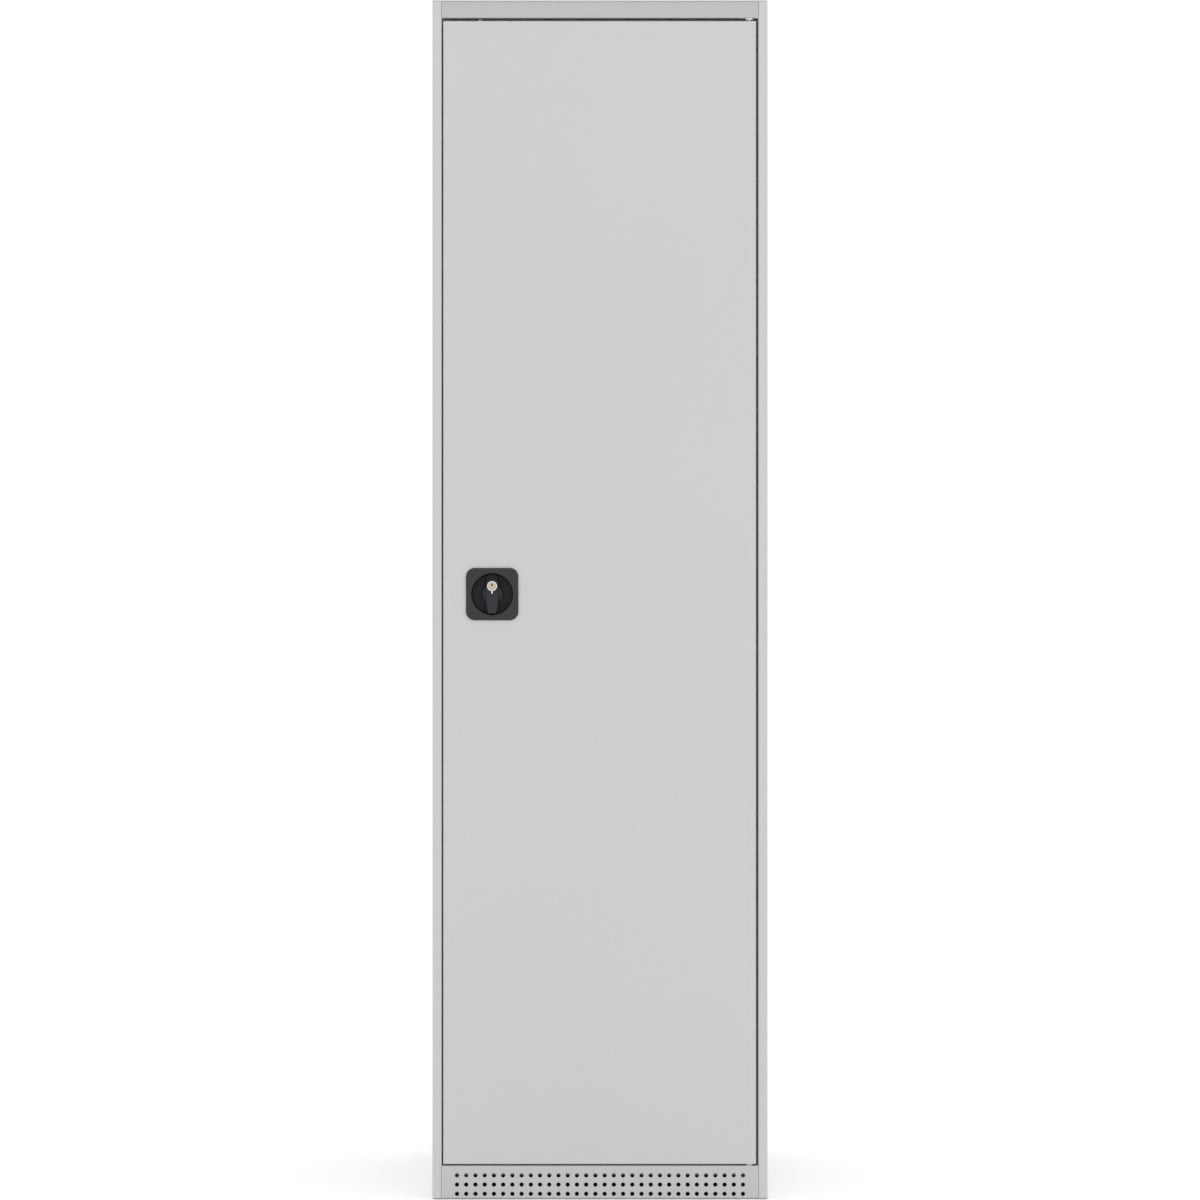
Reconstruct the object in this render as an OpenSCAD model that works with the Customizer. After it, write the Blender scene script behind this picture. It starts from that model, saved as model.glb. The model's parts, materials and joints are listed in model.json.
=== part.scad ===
// Single-door steel locker cabinet: folded sheet carcass, pivot-hung door, rod lock, hung shelves and
// levelling feet. Millimetres. +Z is up, the door faces -Y, and the origin is the centre of the overall
// footprint, on the floor.

/* [Cabinet] */
// Overall width
cab_w = 545; // [440:1:700]
// Depth of the carcass, without the grip and the rivet heads
cab_d = 520; // [420:1:640]
// Overall height, levelling feet included
cab_h = 1950; // [1600:1:2400]
// Thickness of the carcass sheet
body_sheet = 1.2; // [0.8:0.1:1.5]
// Inner radius of every fold
fold_r = 0.8; // [0.4:0.1:1.2]

/* [Front frame] */
// Width of the side panel's front face
flange_w = 15; // [12:0.5:18]
// Height of the header above the door opening
header_h = 29; // [24:0.5:40]
// Height of the plinth's top edge above the floor
plinth_h = 54.5; // [50:0.5:70]
// Depth of the lips that the lock rods catch behind
lip_d = 10; // [8:0.5:10.5]
// Width of the door stop on the lock side
stop_w = 12; // [9:0.5:13]
// Width of the door stop on the hinge side, short so that the swinging door clears it
hinge_stop_w = 5; // [3:0.5:6]

/* [Door] */
// Thickness of the door pan
door_t = 22; // [20:0.5:27]
// Thickness of the door sheet
door_sheet = 1; // [0.8:0.1:1.2]
// Gap beside the door on the lock side
gap_lock = 2.5; // [1.5:0.1:4]
// Gap beside the door on the hinge side
gap_hinge = 3.8; // [3.4:0.1:6]
// Gap above the door
gap_top = 5; // [3:0.1:6]
// Gap below the door
gap_bottom = 2.6; // [2:0.1:4]
// Distance from the door's edge to the pivot
hinge_inset = 10.7; // [9:0.1:11]
// Distance from the door's front face to the pivot
hinge_depth = 9; // [8:0.1:9.5]
// Diameter of the hinge pins
hinge_pin_d = 6; // [5:0.5:7]

/* [Ventilation] */
// Distance between hole centres
vent_pitch = 15; // [12:0.5:20]
// Diameter of a vent hole
vent_d = 7; // [4:0.5:9]
// Rows of holes
vent_rows = 3; // [1:1:3]
// Height of the lowest row above the floor
vent_low = 8.9; // [8:0.1:12]

/* [Lock] */
// Distance from the door's free edge to the handle's axis
lock_inset = 79.7; // [75:0.1:110]
// Height of the handle's axis above the floor
lock_height = 984; // [700:1:1200]
// Side of the square bezel
bezel_w = 85; // [80:1:100]
// Corner radius of the bezel
bezel_r = 14; // [4:1:20]
// Diameter of the round dish in the bezel
dish_d = 68; // [66:1:74]
// Depth of the dish behind the bezel's face
dish_depth = 11; // [9:0.5:11]
// Length of the grip
grip_l = 64; // [52:1:64]
// How far the grip stands in front of the door
grip_proud = 8; // [6:0.5:12]
// Diameter of the lock cylinder's face
cylinder_d = 16.6; // [15:0.1:17]
// Distance from the handle's axis up to the cylinder's axis
cylinder_rise = 13; // [12.9:0.1:14]
// Distance from the handle's axis sideways to each lock rod
rod_offset = 20.2; // [19.5:0.1:24]
// Diameter of the lock rods
rod_d = 7; // [5:0.5:8]
// Distance from the handle's axis to each drive pin on the cam disc
drive_pin_at = 14; // [12:0.5:14]

/* [Shelves] */
// Number of shelves
shelf_count = 4; // [1:1:4]
// Height of a shelf's folded edge
shelf_edge = 30; // [22:1:40]
// Thickness of the shelf sheet
shelf_sheet = 1; // [0.8:0.1:1.2]
// Distance between the slots of the shelf rails
slot_pitch = 25; // [20:1:40]
// How far a shelf rail stands in from the side panel
rail_d = 15; // [12:0.5:20]
// Width of a shelf rail's face
rail_w = 26; // [22:1:36]

/* [Feet and fixings] */
// How far the feet hold the carcass off the floor
foot_proud = 1.5; // [1:0.1:6]
// Diameter of a foot's glide
glide_d = 35; // [25:1:45]
// Diameter of a foot's threaded spindle
spindle_d = 9.8; // [7.8:0.1:11.8]
// Distance from the side and the front or back face to a foot's axis
foot_side = 40; // [34:1:60]
// Distance from the front or back face to a foot's axis
foot_end = 62; // [60:1:90]
// Distance between the two wall fixing holes
wall_hole_spacing = 400; // [200:1:400]
// Height of the wall fixing holes above the floor
wall_hole_height = 1800; // [1300:1:1830]
// Diameter of the wall fixing holes
wall_hole_d = 8; // [6:0.5:12]

/* [Hidden] */
$fn = 48;
FOLD_STEPS = 4;     // flat steps in a quarter turn of a fold
CORNER_STEPS = 8;   // flat steps in a quarter turn of the bezel's corner
PAST = 1;           // how far a cutting shape runs past what it cuts

// Finishes
LIGHT_GREY = [0.78, 0.80, 0.78];
BLACK_PLASTIC = [0.14, 0.15, 0.16];
BARE_STEEL = [0.72, 0.73, 0.75];
WHITE_NYLON = [0.93, 0.93, 0.91];
BRASS = [0.73, 0.64, 0.50];
BLACK_RUBBER = [0.08, 0.08, 0.08];

// Depth runs back from the door's front face, y = front_y
rivet_proud = 1.2;
cylinder_proud = 0.6;                          // how far the lock cylinder stands in front of the grip
front_y = (grip_proud + cylinder_proud - cab_d - rivet_proud) / 2;
half_w = cab_w / 2;
sheet_h = body_sheet / 2;

// Levels
roof_edge = 2 * body_sheet;
roof_bottom = cab_h - roof_edge;
header_bottom = cab_h - header_h;
door_top = header_bottom - gap_top;
door_bottom = plinth_h + gap_bottom;

// Door opening and door, from left to right
open_left = -half_w + flange_w;
open_right = half_w - flange_w;
door_left = open_left + gap_lock;
door_right = open_right - gap_hinge;
hinge_x = door_right - hinge_inset;
bumper_gap = 0.3;
bumper_t = 2.7;
stop_at = door_t + bumper_gap + bumper_t;      // depth of the stop's front face
inner_front = stop_at + body_sheet + 0.8;      // depth where the inner rails and the floor begin
back_in = cab_d - 2 * body_sheet;              // depth of the back panel's inner face

// Lock, in depth order: dish, sliders and rods, cam disc, case, latch tongue
lock_x = door_left + lock_inset;
bezel_t = 3;
dish_wall = 2;
dish_floor = dish_depth - bezel_t;             // depth of the dish's inner floor
dish_back = dish_floor + dish_wall;
slider_t = 3;
rod_depth = dish_back + 5;                     // depth of the rods' centre line
cam_at = rod_depth + rod_d / 2;
cam_t = 3;
case_back = cam_at + cam_t + 3;
case_half_w = dish_d / 2 + dish_wall + 3;
case_half_h = 30;
tongue_at = max(case_back, stop_at + body_sheet) + 1.8 + 1;
tongue_t = 3;
tongue_reach = lock_inset + gap_lock - stop_w + 8;
spindle_w = 8;
journal_r = 7;
drive_pin_r = 2.5;
rod_stroke = 2 * drive_pin_at * sin(45);       // travel of a rod over the handle's quarter turn
hinge_clear = 0.05;                            // radial clearance of each pin in its bush

// Vents
vent_margin = 25;
vent_cols = floor((cab_w - 2 * flange_w - 2 * vent_margin) / vent_pitch) + 1;
back_vent_low = header_bottom - 61;

// Shelf rails and shelves
rail_face = body_sheet + rail_d;               // a rail's face, from the side panel's outer face
rail_end = 60;                                 // distance of a rail from the front or back face
rail_bottom = plinth_h;
rail_top = header_bottom - 31;
slot_w = 14;
slot_h = 4;
slot_count = floor((rail_top - rail_bottom - slot_pitch) / slot_pitch);
clip_t = 2;
clip_reach = 16;
shelf_side_gap = 2;
shelf_front = tongue_at + tongue_t + 8;
shelf_back_gap = 5;
shelf_w = cab_w - 2 * (rail_face + shelf_side_gap);
shelf_d = back_in - shelf_back_gap - shelf_front;

// Feet
bracket_t = 3;
bracket_top = plinth_h - 21.5;
foot_nut_h = 8;
foot_nut_w = 17;
floor_edge = 20;

// ---- Folded sheet ----

function heading(a, b) = atan2(b[1] - a[1], b[0] - a[0]);
function beside(p, angle, off) = p + off * [-sin(angle), cos(angle)];
function turn_at(path, i) =
    let (d = heading(path[i], path[i + 1]) - heading(path[i - 1], path[i]))
    d > 180 ? d - 360 : d < -180 ? d + 360 : d;

// One face of a sheet folded along its centre line: side is 1 for the left face and -1 for the right
function sheet_face(path, t, side) = [
    for (i = [0 : len(path) - 1])
        let (a = i == 0 ? heading(path[0], path[1]) : heading(path[i - 1], path[i]))
        if (i == 0 || i == len(path) - 1) beside(path[i], a, side * t / 2)
        else let (
            turn = turn_at(path, i),
            mid_r = fold_r + t / 2,
            start = path[i] - mid_r * tan(abs(turn) / 2) * [cos(a), sin(a)],
            centre = beside(start, a, sign(turn) * mid_r)
        ) for (k = [0 : FOLD_STEPS])
            beside(centre, a + turn * k / FOLD_STEPS, side * t / 2 - sign(turn) * mid_r)
];
function reversed(list) = [for (i = [len(list) - 1 : -1 : 0]) list[i]];

// Cross-section of a sheet of thickness t, folded along the centre line path
module folded(path, t) polygon(concat(sheet_face(path, t, 1), reversed(sheet_face(path, t, -1))));

// A w by h rectangle about the origin, with corners of radius r in the given number of steps
module rounded(w, h, r, steps) polygon([
    for (q = [0 : 3]) let (
        side_x = (q == 0 || q == 3) ? 1 : -1,
        side_y = q < 2 ? 1 : -1
    ) for (k = [0 : steps]) let (a = 90 * q + 90 * k / steps)
        [side_x * (w / 2 - r), side_y * (h / 2 - r)] + r * [cos(a), sin(a)]
]);

// A w by h by d block about the z axis, from z = 0 up, its edges rounded as a fold rounds them
module soft_block(w, h, d, r) intersection() {
    translate([0, h / 2, d / 2]) rotate([90, 0, 0]) linear_extrude(height = h) rounded(w, d, r, FOLD_STEPS);
    translate([-w / 2, 0, d / 2]) rotate([90, 0, 90]) linear_extrude(height = w) rounded(h, d, r, FOLD_STEPS);
}

// A pan folded from one sheet: its face lies at z = 0, its edges rise by d and end in lips turned inwards
module pan(w, h, d, t, lip) difference() {
    soft_block(w, h, d, min(fold_r + t, d / 2 - 0.05));
    if (d > 2 * t) translate([0, 0, t]) soft_block(w - 2 * t, h - 2 * t, d - 2 * t, fold_r);
    translate([lip - w / 2, lip - h / 2, t]) cube([w - 2 * lip, h - 2 * lip, d]);
}

// ---- Places ----

// Moves a child's y from depth behind the door's front face to the model's frame
module at_depth() translate([0, front_y, 0]) children();
// Stretches a cross-section drawn in x and depth from z0 up to z1
module upright(z0, z1) translate([0, front_y, z0]) linear_extrude(height = z1 - z0) children();
// Stretches a cross-section drawn in depth and height from x0 to x1
module across(x0, x1)
    translate([x0, front_y, 0]) rotate([90, 0, 90]) linear_extrude(height = x1 - x0) children();
// Stretches a shape drawn in x and height from depth d0 back to d1
module deep(d0, d1)
    translate([0, front_y + d1, 0]) rotate([90, 0, 0]) linear_extrude(height = d1 - d0) children();
// A round bar along the depth, from d0 to d1
module bar_deep(x, z, r, d0, d1)
    translate([x, front_y + d0, z]) rotate([-90, 0, 0]) cylinder(r = r, h = d1 - d0);
// A round bar along the height, from z0 to z1
module bar_up(x, depth, r, z0, z1) translate([x, front_y + depth, z0]) cylinder(r = r, h = z1 - z0);
// A box between two depths, given in x, depth and height
module box(low, high) at_depth() translate(low) cube(high - low);
// Puts children at the handle's axis, with x and height measured from it
module at_lock() translate([lock_x, 0, lock_height]) children();
// The child as drawn for the left side, or turned over for the right
module on_side(side) if (side < 0) children(); else mirror([1, 0, 0]) children();

rivet_x = half_w - 11;
rivet_count = 8;
function rivet_z(i) = 90 + i * (roof_bottom - 180) / (rivet_count - 1);
rivet_r = 1.6;

// ---- Carcass ----

module side_panel(side, stop) color(LIGHT_GREY) difference() {
    on_side(side) translate([-half_w, 0, 0]) upright(foot_proud, roof_bottom) folded([
        [flange_w + stop, stop_at + sheet_h],
        [flange_w - sheet_h, stop_at + sheet_h],
        [flange_w - sheet_h, sheet_h],
        [sheet_h, sheet_h],
        [sheet_h, cab_d - sheet_h],
        [rail_face + 4, cab_d - sheet_h]
    ], body_sheet);
    for (i = [0 : rivet_count - 1])
        bar_deep(side * rivet_x, rivet_z(i), rivet_r + 0.1, cab_d - body_sheet - PAST, cab_d + PAST);
}
module left_side_panel() side_panel(-1, stop_w);
module right_side_panel() side_panel(1, hinge_stop_w);

module vent_holes(low, d0, d1)
    for (row = [0 : vent_rows - 1], col = [0 : vent_cols - 1])
        bar_deep((col - (vent_cols - 1) / 2) * vent_pitch, low + row * vent_pitch, vent_d / 2, d0, d1);

// The back stops short of the inner radius of the rear folds
back_half_w = half_w - body_sheet - fold_r;
module back_panel() color(LIGHT_GREY) difference() {
    box([-back_half_w, back_in, foot_proud], [back_half_w, back_in + body_sheet, roof_bottom]);
    vent_holes(back_vent_low, back_in - PAST, back_in + body_sheet + PAST);
    for (side = [-1, 1]) {
        bar_deep(side * wall_hole_spacing / 2, wall_hole_height, wall_hole_d / 2,
            back_in - PAST, back_in + body_sheet + PAST);
        for (i = [0 : rivet_count - 1])
            bar_deep(side * rivet_x, rivet_z(i), rivet_r + 0.1, back_in - PAST, back_in + body_sheet + PAST);
    }
}

module roof_panel() color(LIGHT_GREY)
    translate([0, front_y + cab_d / 2, cab_h]) rotate([180, 0, 0])
        pan(cab_w, cab_d, roof_edge, body_sheet, 12);

// The thick plate that holds a hinge pin fills a notch in the header's or plinth's lip
hinge_plate_left = hinge_x - 18;
hinge_plate_t = 3;
module hinge_notch(z0, z1) box([hinge_plate_left - 0.3, body_sheet, z0], [open_right + PAST, stop_at, z1]);

module header_rail() color(LIGHT_GREY) difference() {
    across(open_left, open_right) folded([
        [lip_d, header_bottom + sheet_h],
        [sheet_h, header_bottom + sheet_h],
        [sheet_h, roof_bottom - sheet_h],
        [stop_at - body_sheet, roof_bottom - sheet_h]
    ], body_sheet);
    hinge_notch(header_bottom - PAST, header_bottom + 2 * hinge_plate_t);
}

module top_stop_rail() color(LIGHT_GREY)
    across(body_sheet - half_w, half_w - body_sheet) folded([
        [inner_front + sheet_h, door_top - 12],
        [inner_front + sheet_h, header_bottom + 2],
        [inner_front + 14, header_bottom + 2],
        [inner_front + 14, roof_bottom - sheet_h],
        [inner_front + 28, roof_bottom - sheet_h]
    ], body_sheet);

module plinth_panel() color(LIGHT_GREY) difference() {
    across(open_left, open_right) folded([
        [lip_d, plinth_h - sheet_h],
        [sheet_h, plinth_h - sheet_h],
        [sheet_h, foot_proud + sheet_h],
        [lip_d, foot_proud + sheet_h]
    ], body_sheet);
    hinge_notch(plinth_h - 2 * hinge_plate_t, plinth_h + PAST);
    vent_holes(vent_low, -PAST, body_sheet + PAST);
}

module foot_places() for (side = [-1, 1], depth = [foot_end, cab_d - foot_end])
    translate([side * (half_w - foot_side), front_y + depth, 0]) children();

cap_hole_r = 8;
floor_d = back_in - inner_front;
module floor_panel() color(LIGHT_GREY) difference() {
    translate([0, front_y + inner_front + floor_d / 2, plinth_h]) rotate([180, 0, 0])
        pan(cab_w - 2 * body_sheet, floor_d, floor_edge, body_sheet, 12);
    foot_places() translate([0, 0, plinth_h - body_sheet - PAST])
        cylinder(r = cap_hole_r, h = body_sheet + 2 * PAST);
    for (col = [0 : vent_cols - 1])
        bar_up((col - (vent_cols - 1) / 2) * vent_pitch, inner_front + 14, vent_d / 2,
            plinth_h - body_sheet - PAST, plinth_h + PAST);
}

module rear_base_rail() color(LIGHT_GREY)
    across(body_sheet - half_w, half_w - body_sheet) folded([
        [back_in - sheet_h, foot_proud + 6],
        [back_in - sheet_h, plinth_h - floor_edge - sheet_h],
        [back_in - 18, plinth_h - floor_edge - sheet_h]
    ], body_sheet);

// Height of slot i, and of the underside of the shelf that hangs from it
function slot_z(i) = rail_bottom + slot_pitch * (i + 1);
function shelf_slot(k) = round(k * (rail_top - rail_bottom) / (shelf_count + 1) / slot_pitch) - 1;
function shelf_bottom(k) = slot_z(shelf_slot(k)) + clip_t / 2;

module shelf_rail(side, depth) color(LIGHT_GREY) difference() {
    on_side(side) translate([-half_w, 0, 0]) upright(rail_bottom, rail_top) folded([
        [body_sheet, depth + sheet_h],
        [rail_face - sheet_h, depth + sheet_h],
        [rail_face - sheet_h, depth + rail_w - sheet_h],
        [body_sheet, depth + rail_w - sheet_h]
    ], body_sheet);
    on_side(side) for (i = [0 : slot_count - 1]) box(
        [rail_face - body_sheet - PAST - half_w, depth + (rail_w - slot_w) / 2, slot_z(i) - slot_h / 2],
        [rail_face + PAST - half_w, depth + (rail_w + slot_w) / 2, slot_z(i) + slot_h / 2]);
}
rail_front_at = rail_end;
rail_rear_at = cab_d - rail_end - rail_w;
module front_left_shelf_rail() shelf_rail(-1, rail_front_at);
module front_right_shelf_rail() shelf_rail(1, rail_front_at);
module rear_left_shelf_rail() shelf_rail(-1, rail_rear_at);
module rear_right_shelf_rail() shelf_rail(1, rail_rear_at);

// A hook through the slot, a ledge under the shelf and a plate that bears on the rail
clip_w = slot_w - 1;
module shelf_clip(side, depth, bottom) on_side(side) {
    d0 = depth + (rail_w - clip_w) / 2;
    at_wall = -half_w + rail_face;
    box([at_wall - body_sheet - 4, d0, bottom - clip_t], [at_wall + clip_reach, d0 + clip_w, bottom]);
    box([at_wall, d0, bottom - 14], [at_wall + clip_t, d0 + clip_w, bottom - clip_t]);
}
module shelf_clips() color(BARE_STEEL)
    for (k = [1 : shelf_count], side = [-1, 1], depth = [rail_front_at, rail_rear_at])
        shelf_clip(side, depth, shelf_bottom(k));

// Plate with a hole for the pin and a leg welded to the frame; grow is 1 above the door and -1 below it
module hinge_bracket(face_z, grow) color(LIGHT_GREY) {
    low = min(face_z, face_z + grow * hinge_plate_t);
    difference() {
        union() {
            box([hinge_plate_left, body_sheet, low], [open_right, stop_at - 2, low + hinge_plate_t]);
            box([hinge_plate_left, body_sheet, min(face_z, face_z + grow * 16)],
                [hinge_plate_left + hinge_plate_t, stop_at - 2, max(face_z, face_z + grow * 16)]);
        }
        bar_up(hinge_x, hinge_depth, hinge_pin_d / 2 + hinge_clear, low - PAST, low + hinge_plate_t + PAST);
    }
}
module top_hinge_bracket() hinge_bracket(header_bottom, 1);
module bottom_hinge_bracket() hinge_bracket(plinth_h, -1);

hinge_pin_in = 13;
hinge_head_r = hinge_pin_d / 2 + 2;
module top_hinge_pin() color(BARE_STEEL) {
    head_z = header_bottom + hinge_plate_t;
    bar_up(hinge_x, hinge_depth, hinge_pin_d / 2, door_top - hinge_pin_in, head_z + 1);
    bar_up(hinge_x, hinge_depth, hinge_head_r, head_z, head_z + 2.5);
}
module bottom_hinge_pin() color(BARE_STEEL) {
    head_z = plinth_h - hinge_plate_t;
    bar_up(hinge_x, hinge_depth, hinge_pin_d / 2, head_z - 1, door_bottom + hinge_pin_in);
    bar_up(hinge_x, hinge_depth, hinge_head_r, head_z - 2.5, head_z);
}
module hinge_washer(r, z0, z1) color(WHITE_NYLON) difference() {
    bar_up(hinge_x, hinge_depth, r, z0, z1);
    bar_up(hinge_x, hinge_depth, hinge_pin_d / 2 + hinge_clear, z0 - PAST, z1 + PAST);
}
module top_hinge_washer() hinge_washer(6.5, header_bottom - 2.4, header_bottom);
module bottom_hinge_washer() hinge_washer(5.4, plinth_h, door_bottom - 0.1);

module foot_brackets() color(LIGHT_GREY)
    for (side = [-1, 1], depth = [foot_end, cab_d - foot_end]) difference() {
        on_side(side) {
            box([body_sheet - half_w, depth - 26, bracket_top - bracket_t],
                [foot_side + 22 - half_w, depth + 26, bracket_top]);
            box([body_sheet - half_w, depth - 26, foot_proud + 4],
                [body_sheet + bracket_t - half_w, depth + 26, bracket_top - bracket_t]);
        }
        bar_up(side * (half_w - foot_side), depth, spindle_d / 2 + 0.4,
            bracket_top - bracket_t - PAST, bracket_top + PAST);
    }

module foot_nuts() color(BARE_STEEL) foot_places() translate([0, 0, bracket_top]) difference() {
    cylinder(r = foot_nut_w / sqrt(3), h = foot_nut_h, $fn = 6);
    translate([0, 0, -PAST]) cylinder(r = spindle_d / 2 + 0.1, h = foot_nut_h + 2 * PAST);
}

module foot_access_caps() color(LIGHT_GREY) foot_places() {
    translate([0, 0, plinth_h]) cylinder(r1 = cap_hole_r + 2, r2 = cap_hole_r + 1.2, h = 1.2);
    translate([0, 0, plinth_h - 4]) difference() {
        cylinder(r = cap_hole_r - 0.1, h = 4);
        translate([0, 0, -PAST]) cylinder(r = cap_hole_r - 1.5, h = 3.5);
    }
}

module door_bumpers() color(BLACK_RUBBER)
    for (z = [door_bottom + 150, lock_height + 220, door_top - 150])
        bar_deep(open_left + stop_w / 2, z, 4.5, door_t + bumper_gap, stop_at);

module back_panel_rivets() color(BARE_STEEL)
    for (side = [-1, 1], i = [0 : rivet_count - 1])
        translate([side * rivet_x, front_y, rivet_z(i)]) rotate([-90, 0, 0]) {
            translate([0, 0, cab_d]) cylinder(r1 = 2 * rivet_r, r2 = rivet_r, h = rivet_proud);
            translate([0, 0, back_in - 1]) cylinder(r = rivet_r, h = cab_d - back_in + 1);
        }

// ---- Door ----

module door_panel() color(LIGHT_GREY) difference() {
    translate([(door_left + door_right) / 2, front_y, (door_bottom + door_top) / 2]) rotate([90, 0, 180])
        pan(door_right - door_left, door_top - door_bottom, door_t, door_sheet, 15);
    bar_deep(lock_x, lock_height, dish_d / 2 + dish_wall + 0.3, -PAST, door_sheet + PAST);
    hole_r = rod_d / 2 + 0.4;
    bar_up(lock_x - rod_offset, rod_depth, hole_r, door_top - door_sheet - PAST, door_top + PAST);
    bar_up(lock_x + rod_offset, rod_depth, hole_r, door_bottom - PAST, door_bottom + door_sheet + PAST);
    for (z = [door_top - door_sheet, door_bottom])
        bar_up(hinge_x, hinge_depth, bush_r + 0.1, z - PAST, z + door_sheet + PAST);
}

stiffener_half_w = 25;
stiffener_foot = 15;
module door_stiffener() color(LIGHT_GREY) {
    h = door_sheet / 2;
    upright(door_bottom + 60, door_top - 60) folded([
        [-stiffener_half_w - stiffener_foot, door_sheet + h], [-stiffener_half_w, door_sheet + h],
        [-stiffener_half_w, door_t - 3], [stiffener_half_w, door_t - 3],
        [stiffener_half_w, door_sheet + h], [stiffener_half_w + stiffener_foot, door_sheet + h]
    ], door_sheet);
}

bush_r = 4.8;
bush_l = hinge_pin_in + 1;
block_l = 18;
block_inset = door_sheet + fold_r;         // clears the inner radius of the door's folds
module hinge_block(z0) color(BARE_STEEL) difference() {
    box([hinge_x - 16, block_inset, z0], [door_right - door_sheet, door_t - block_inset, z0 + block_l]);
    bar_up(hinge_x, hinge_depth, bush_r + 0.05, z0 - PAST, z0 + block_l + PAST);
}
module top_hinge_block() hinge_block(door_top - door_sheet - block_l);
module bottom_hinge_block() hinge_block(door_bottom + door_sheet);
module hinge_bush(z0) color(WHITE_NYLON) difference() {
    bar_up(hinge_x, hinge_depth, bush_r, z0, z0 + bush_l);
    bar_up(hinge_x, hinge_depth, hinge_pin_d / 2 + hinge_clear, z0 - PAST, z0 + bush_l + PAST);
}
module top_hinge_bush() hinge_bush(door_top - bush_l);
module bottom_hinge_bush() hinge_bush(door_bottom);

dish_draft = 1.4;           // how much the dish narrows from its lip to its floor
case_screw_at = 26;
case_screw_r = 2;
module lock_bezel() color(BLACK_PLASTIC) at_lock() difference() {
    union() {
        deep(-bezel_t, 0) rounded(bezel_w, bezel_w, bezel_r, CORNER_STEPS);
        bar_deep(0, 0, dish_d / 2 + dish_wall, 0, dish_back);
        for (side = [-1, 1]) bar_deep(0, side * case_screw_at, 4, dish_back, dish_back + 5);
    }
    translate([0, front_y - bezel_t - PAST, 0]) rotate([-90, 0, 0])
        cylinder(r1 = dish_d / 2 + dish_draft * PAST / dish_depth, r2 = dish_d / 2 - dish_draft,
            h = dish_depth + PAST);
    bar_deep(0, 0, journal_r + 0.05, 0, dish_back + PAST);
    for (side = [-1, 1])
        bar_deep(0, side * case_screw_at, case_screw_r + 0.05, dish_back + 0.5, dish_back + 5 + PAST);
}

module lock_case() color(BARE_STEEL) {
    h = body_sheet / 2;
    difference() {
        translate([lock_x, 0, 0]) upright(lock_height - case_half_h, lock_height + case_half_h) folded([
            [-case_half_w - 9, door_sheet + h], [-case_half_w, door_sheet + h],
            [-case_half_w, case_back - h], [case_half_w, case_back - h],
            [case_half_w, door_sheet + h], [case_half_w + 9, door_sheet + h]
        ], body_sheet);
        at_lock() {
            bar_deep(0, 0, spindle_w * 0.75, case_back - body_sheet - PAST, case_back + PAST);
            for (side = [-1, 1]) bar_deep(0, side * case_screw_at, case_screw_r + 0.2,
                case_back - body_sheet - PAST, case_back + PAST);
        }
    }
}

module lock_case_screws() color(BARE_STEEL) at_lock() for (side = [-1, 1]) difference() {
    union() {
        bar_deep(0, side * case_screw_at, case_screw_r, dish_back + 1, case_back);
        bar_deep(0, side * case_screw_at, 3.6, case_back, case_back + 1.6);
    }
    deep(case_back + 0.8, case_back + 1.6 + PAST)
        translate([0, side * case_screw_at]) square([8, 1], center = true);
}

guide_h = 14;
module rod_guide(x, z) color(WHITE_NYLON) difference() {
    box([x - 10, door_sheet, z - guide_h / 2], [x + 10, rod_depth + rod_d / 2 + 2, z + guide_h / 2]);
    bar_up(x, rod_depth, rod_d / 2 + 0.1, z - guide_h, z + guide_h);
}
module rod_guides() {
    for (z = [lock_height + 130, door_top - 90]) rod_guide(lock_x - rod_offset, z);
    for (z = [lock_height - 130, door_bottom + 90]) rod_guide(lock_x + rod_offset, z);
}

// ---- Handle ----

bar_front = -grip_proud;
bar_back = dish_floor - 4;
hub_r = 16;
cylinder_back = bar_back - 1.2;
rib_w = 2.1;
rib_drop = 5.0;             // how far the cylinder's rib runs below its face
rib_t = 3;
// Half the grip's width at height z from its middle
function grip_half(z) = 7.5 + 3.4 * (1 - pow(2 * z / grip_l, 2));
grip_corner = 2.5;
thumb_slope = 37;           // of the thumb rest above the cylinder, from the front plane
module grip_outline() {
    half_l = grip_l / 2;
    full = half_l - grip_corner;
    flank = [for (i = [0 : 8]) let (z = full * (i / 4 - 1)) [grip_half(z), z]];
    end_w = grip_half(half_l) - grip_corner;
    edge = concat([[end_w, -half_l]], flank, [[end_w, half_l]]);
    polygon(concat(edge, [for (p = reversed(edge)) [-p[0], p[1]]]));
}
module handle_grip() color(BLACK_PLASTIC) at_lock() difference() {
    union() {
        deep(bar_front, bar_back) grip_outline();
        bar_deep(0, 0, hub_r, bar_back - 4, dish_floor - 0.4);
        bar_deep(0, 0, journal_r, dish_floor - 0.4, dish_back + 0.4);
    }
    // the thumb rest
    translate([-grip_l, front_y + bar_front, cylinder_rise + cylinder_d / 2]) rotate([-thumb_slope, 0, 0])
        translate([0, -grip_l, 0]) cube([2 * grip_l, grip_l, grip_l]);
    bar_deep(0, cylinder_rise, cylinder_d / 2 + 0.05, bar_front - PAST, cylinder_back + 0.1);
    deep(bar_front - PAST, bar_front + rib_t + 0.6)
        translate([-rib_w / 2 - 0.1, cylinder_rise - cylinder_d / 2 - rib_drop - 0.1])
            square([rib_w + 0.2, cylinder_d / 2 + rib_drop]);
    bar_deep(0, cylinder_rise, 3, 0, bar_back + PAST);
    bar_deep(0, cylinder_rise, 6, bar_back, dish_back);
    deep(cylinder_back, dish_back + PAST) square(spindle_w + 0.1, center = true);
}

screw_l = 12;
spindle_back = tongue_at + tongue_t;
module handle_spindle() color(BARE_STEEL) at_lock() difference() {
    deep(cylinder_back + 0.2, spindle_back) square(spindle_w, center = true);
    bar_deep(0, 0, 2.55, spindle_back - screw_l - 0.5, spindle_back + PAST);
}

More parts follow.
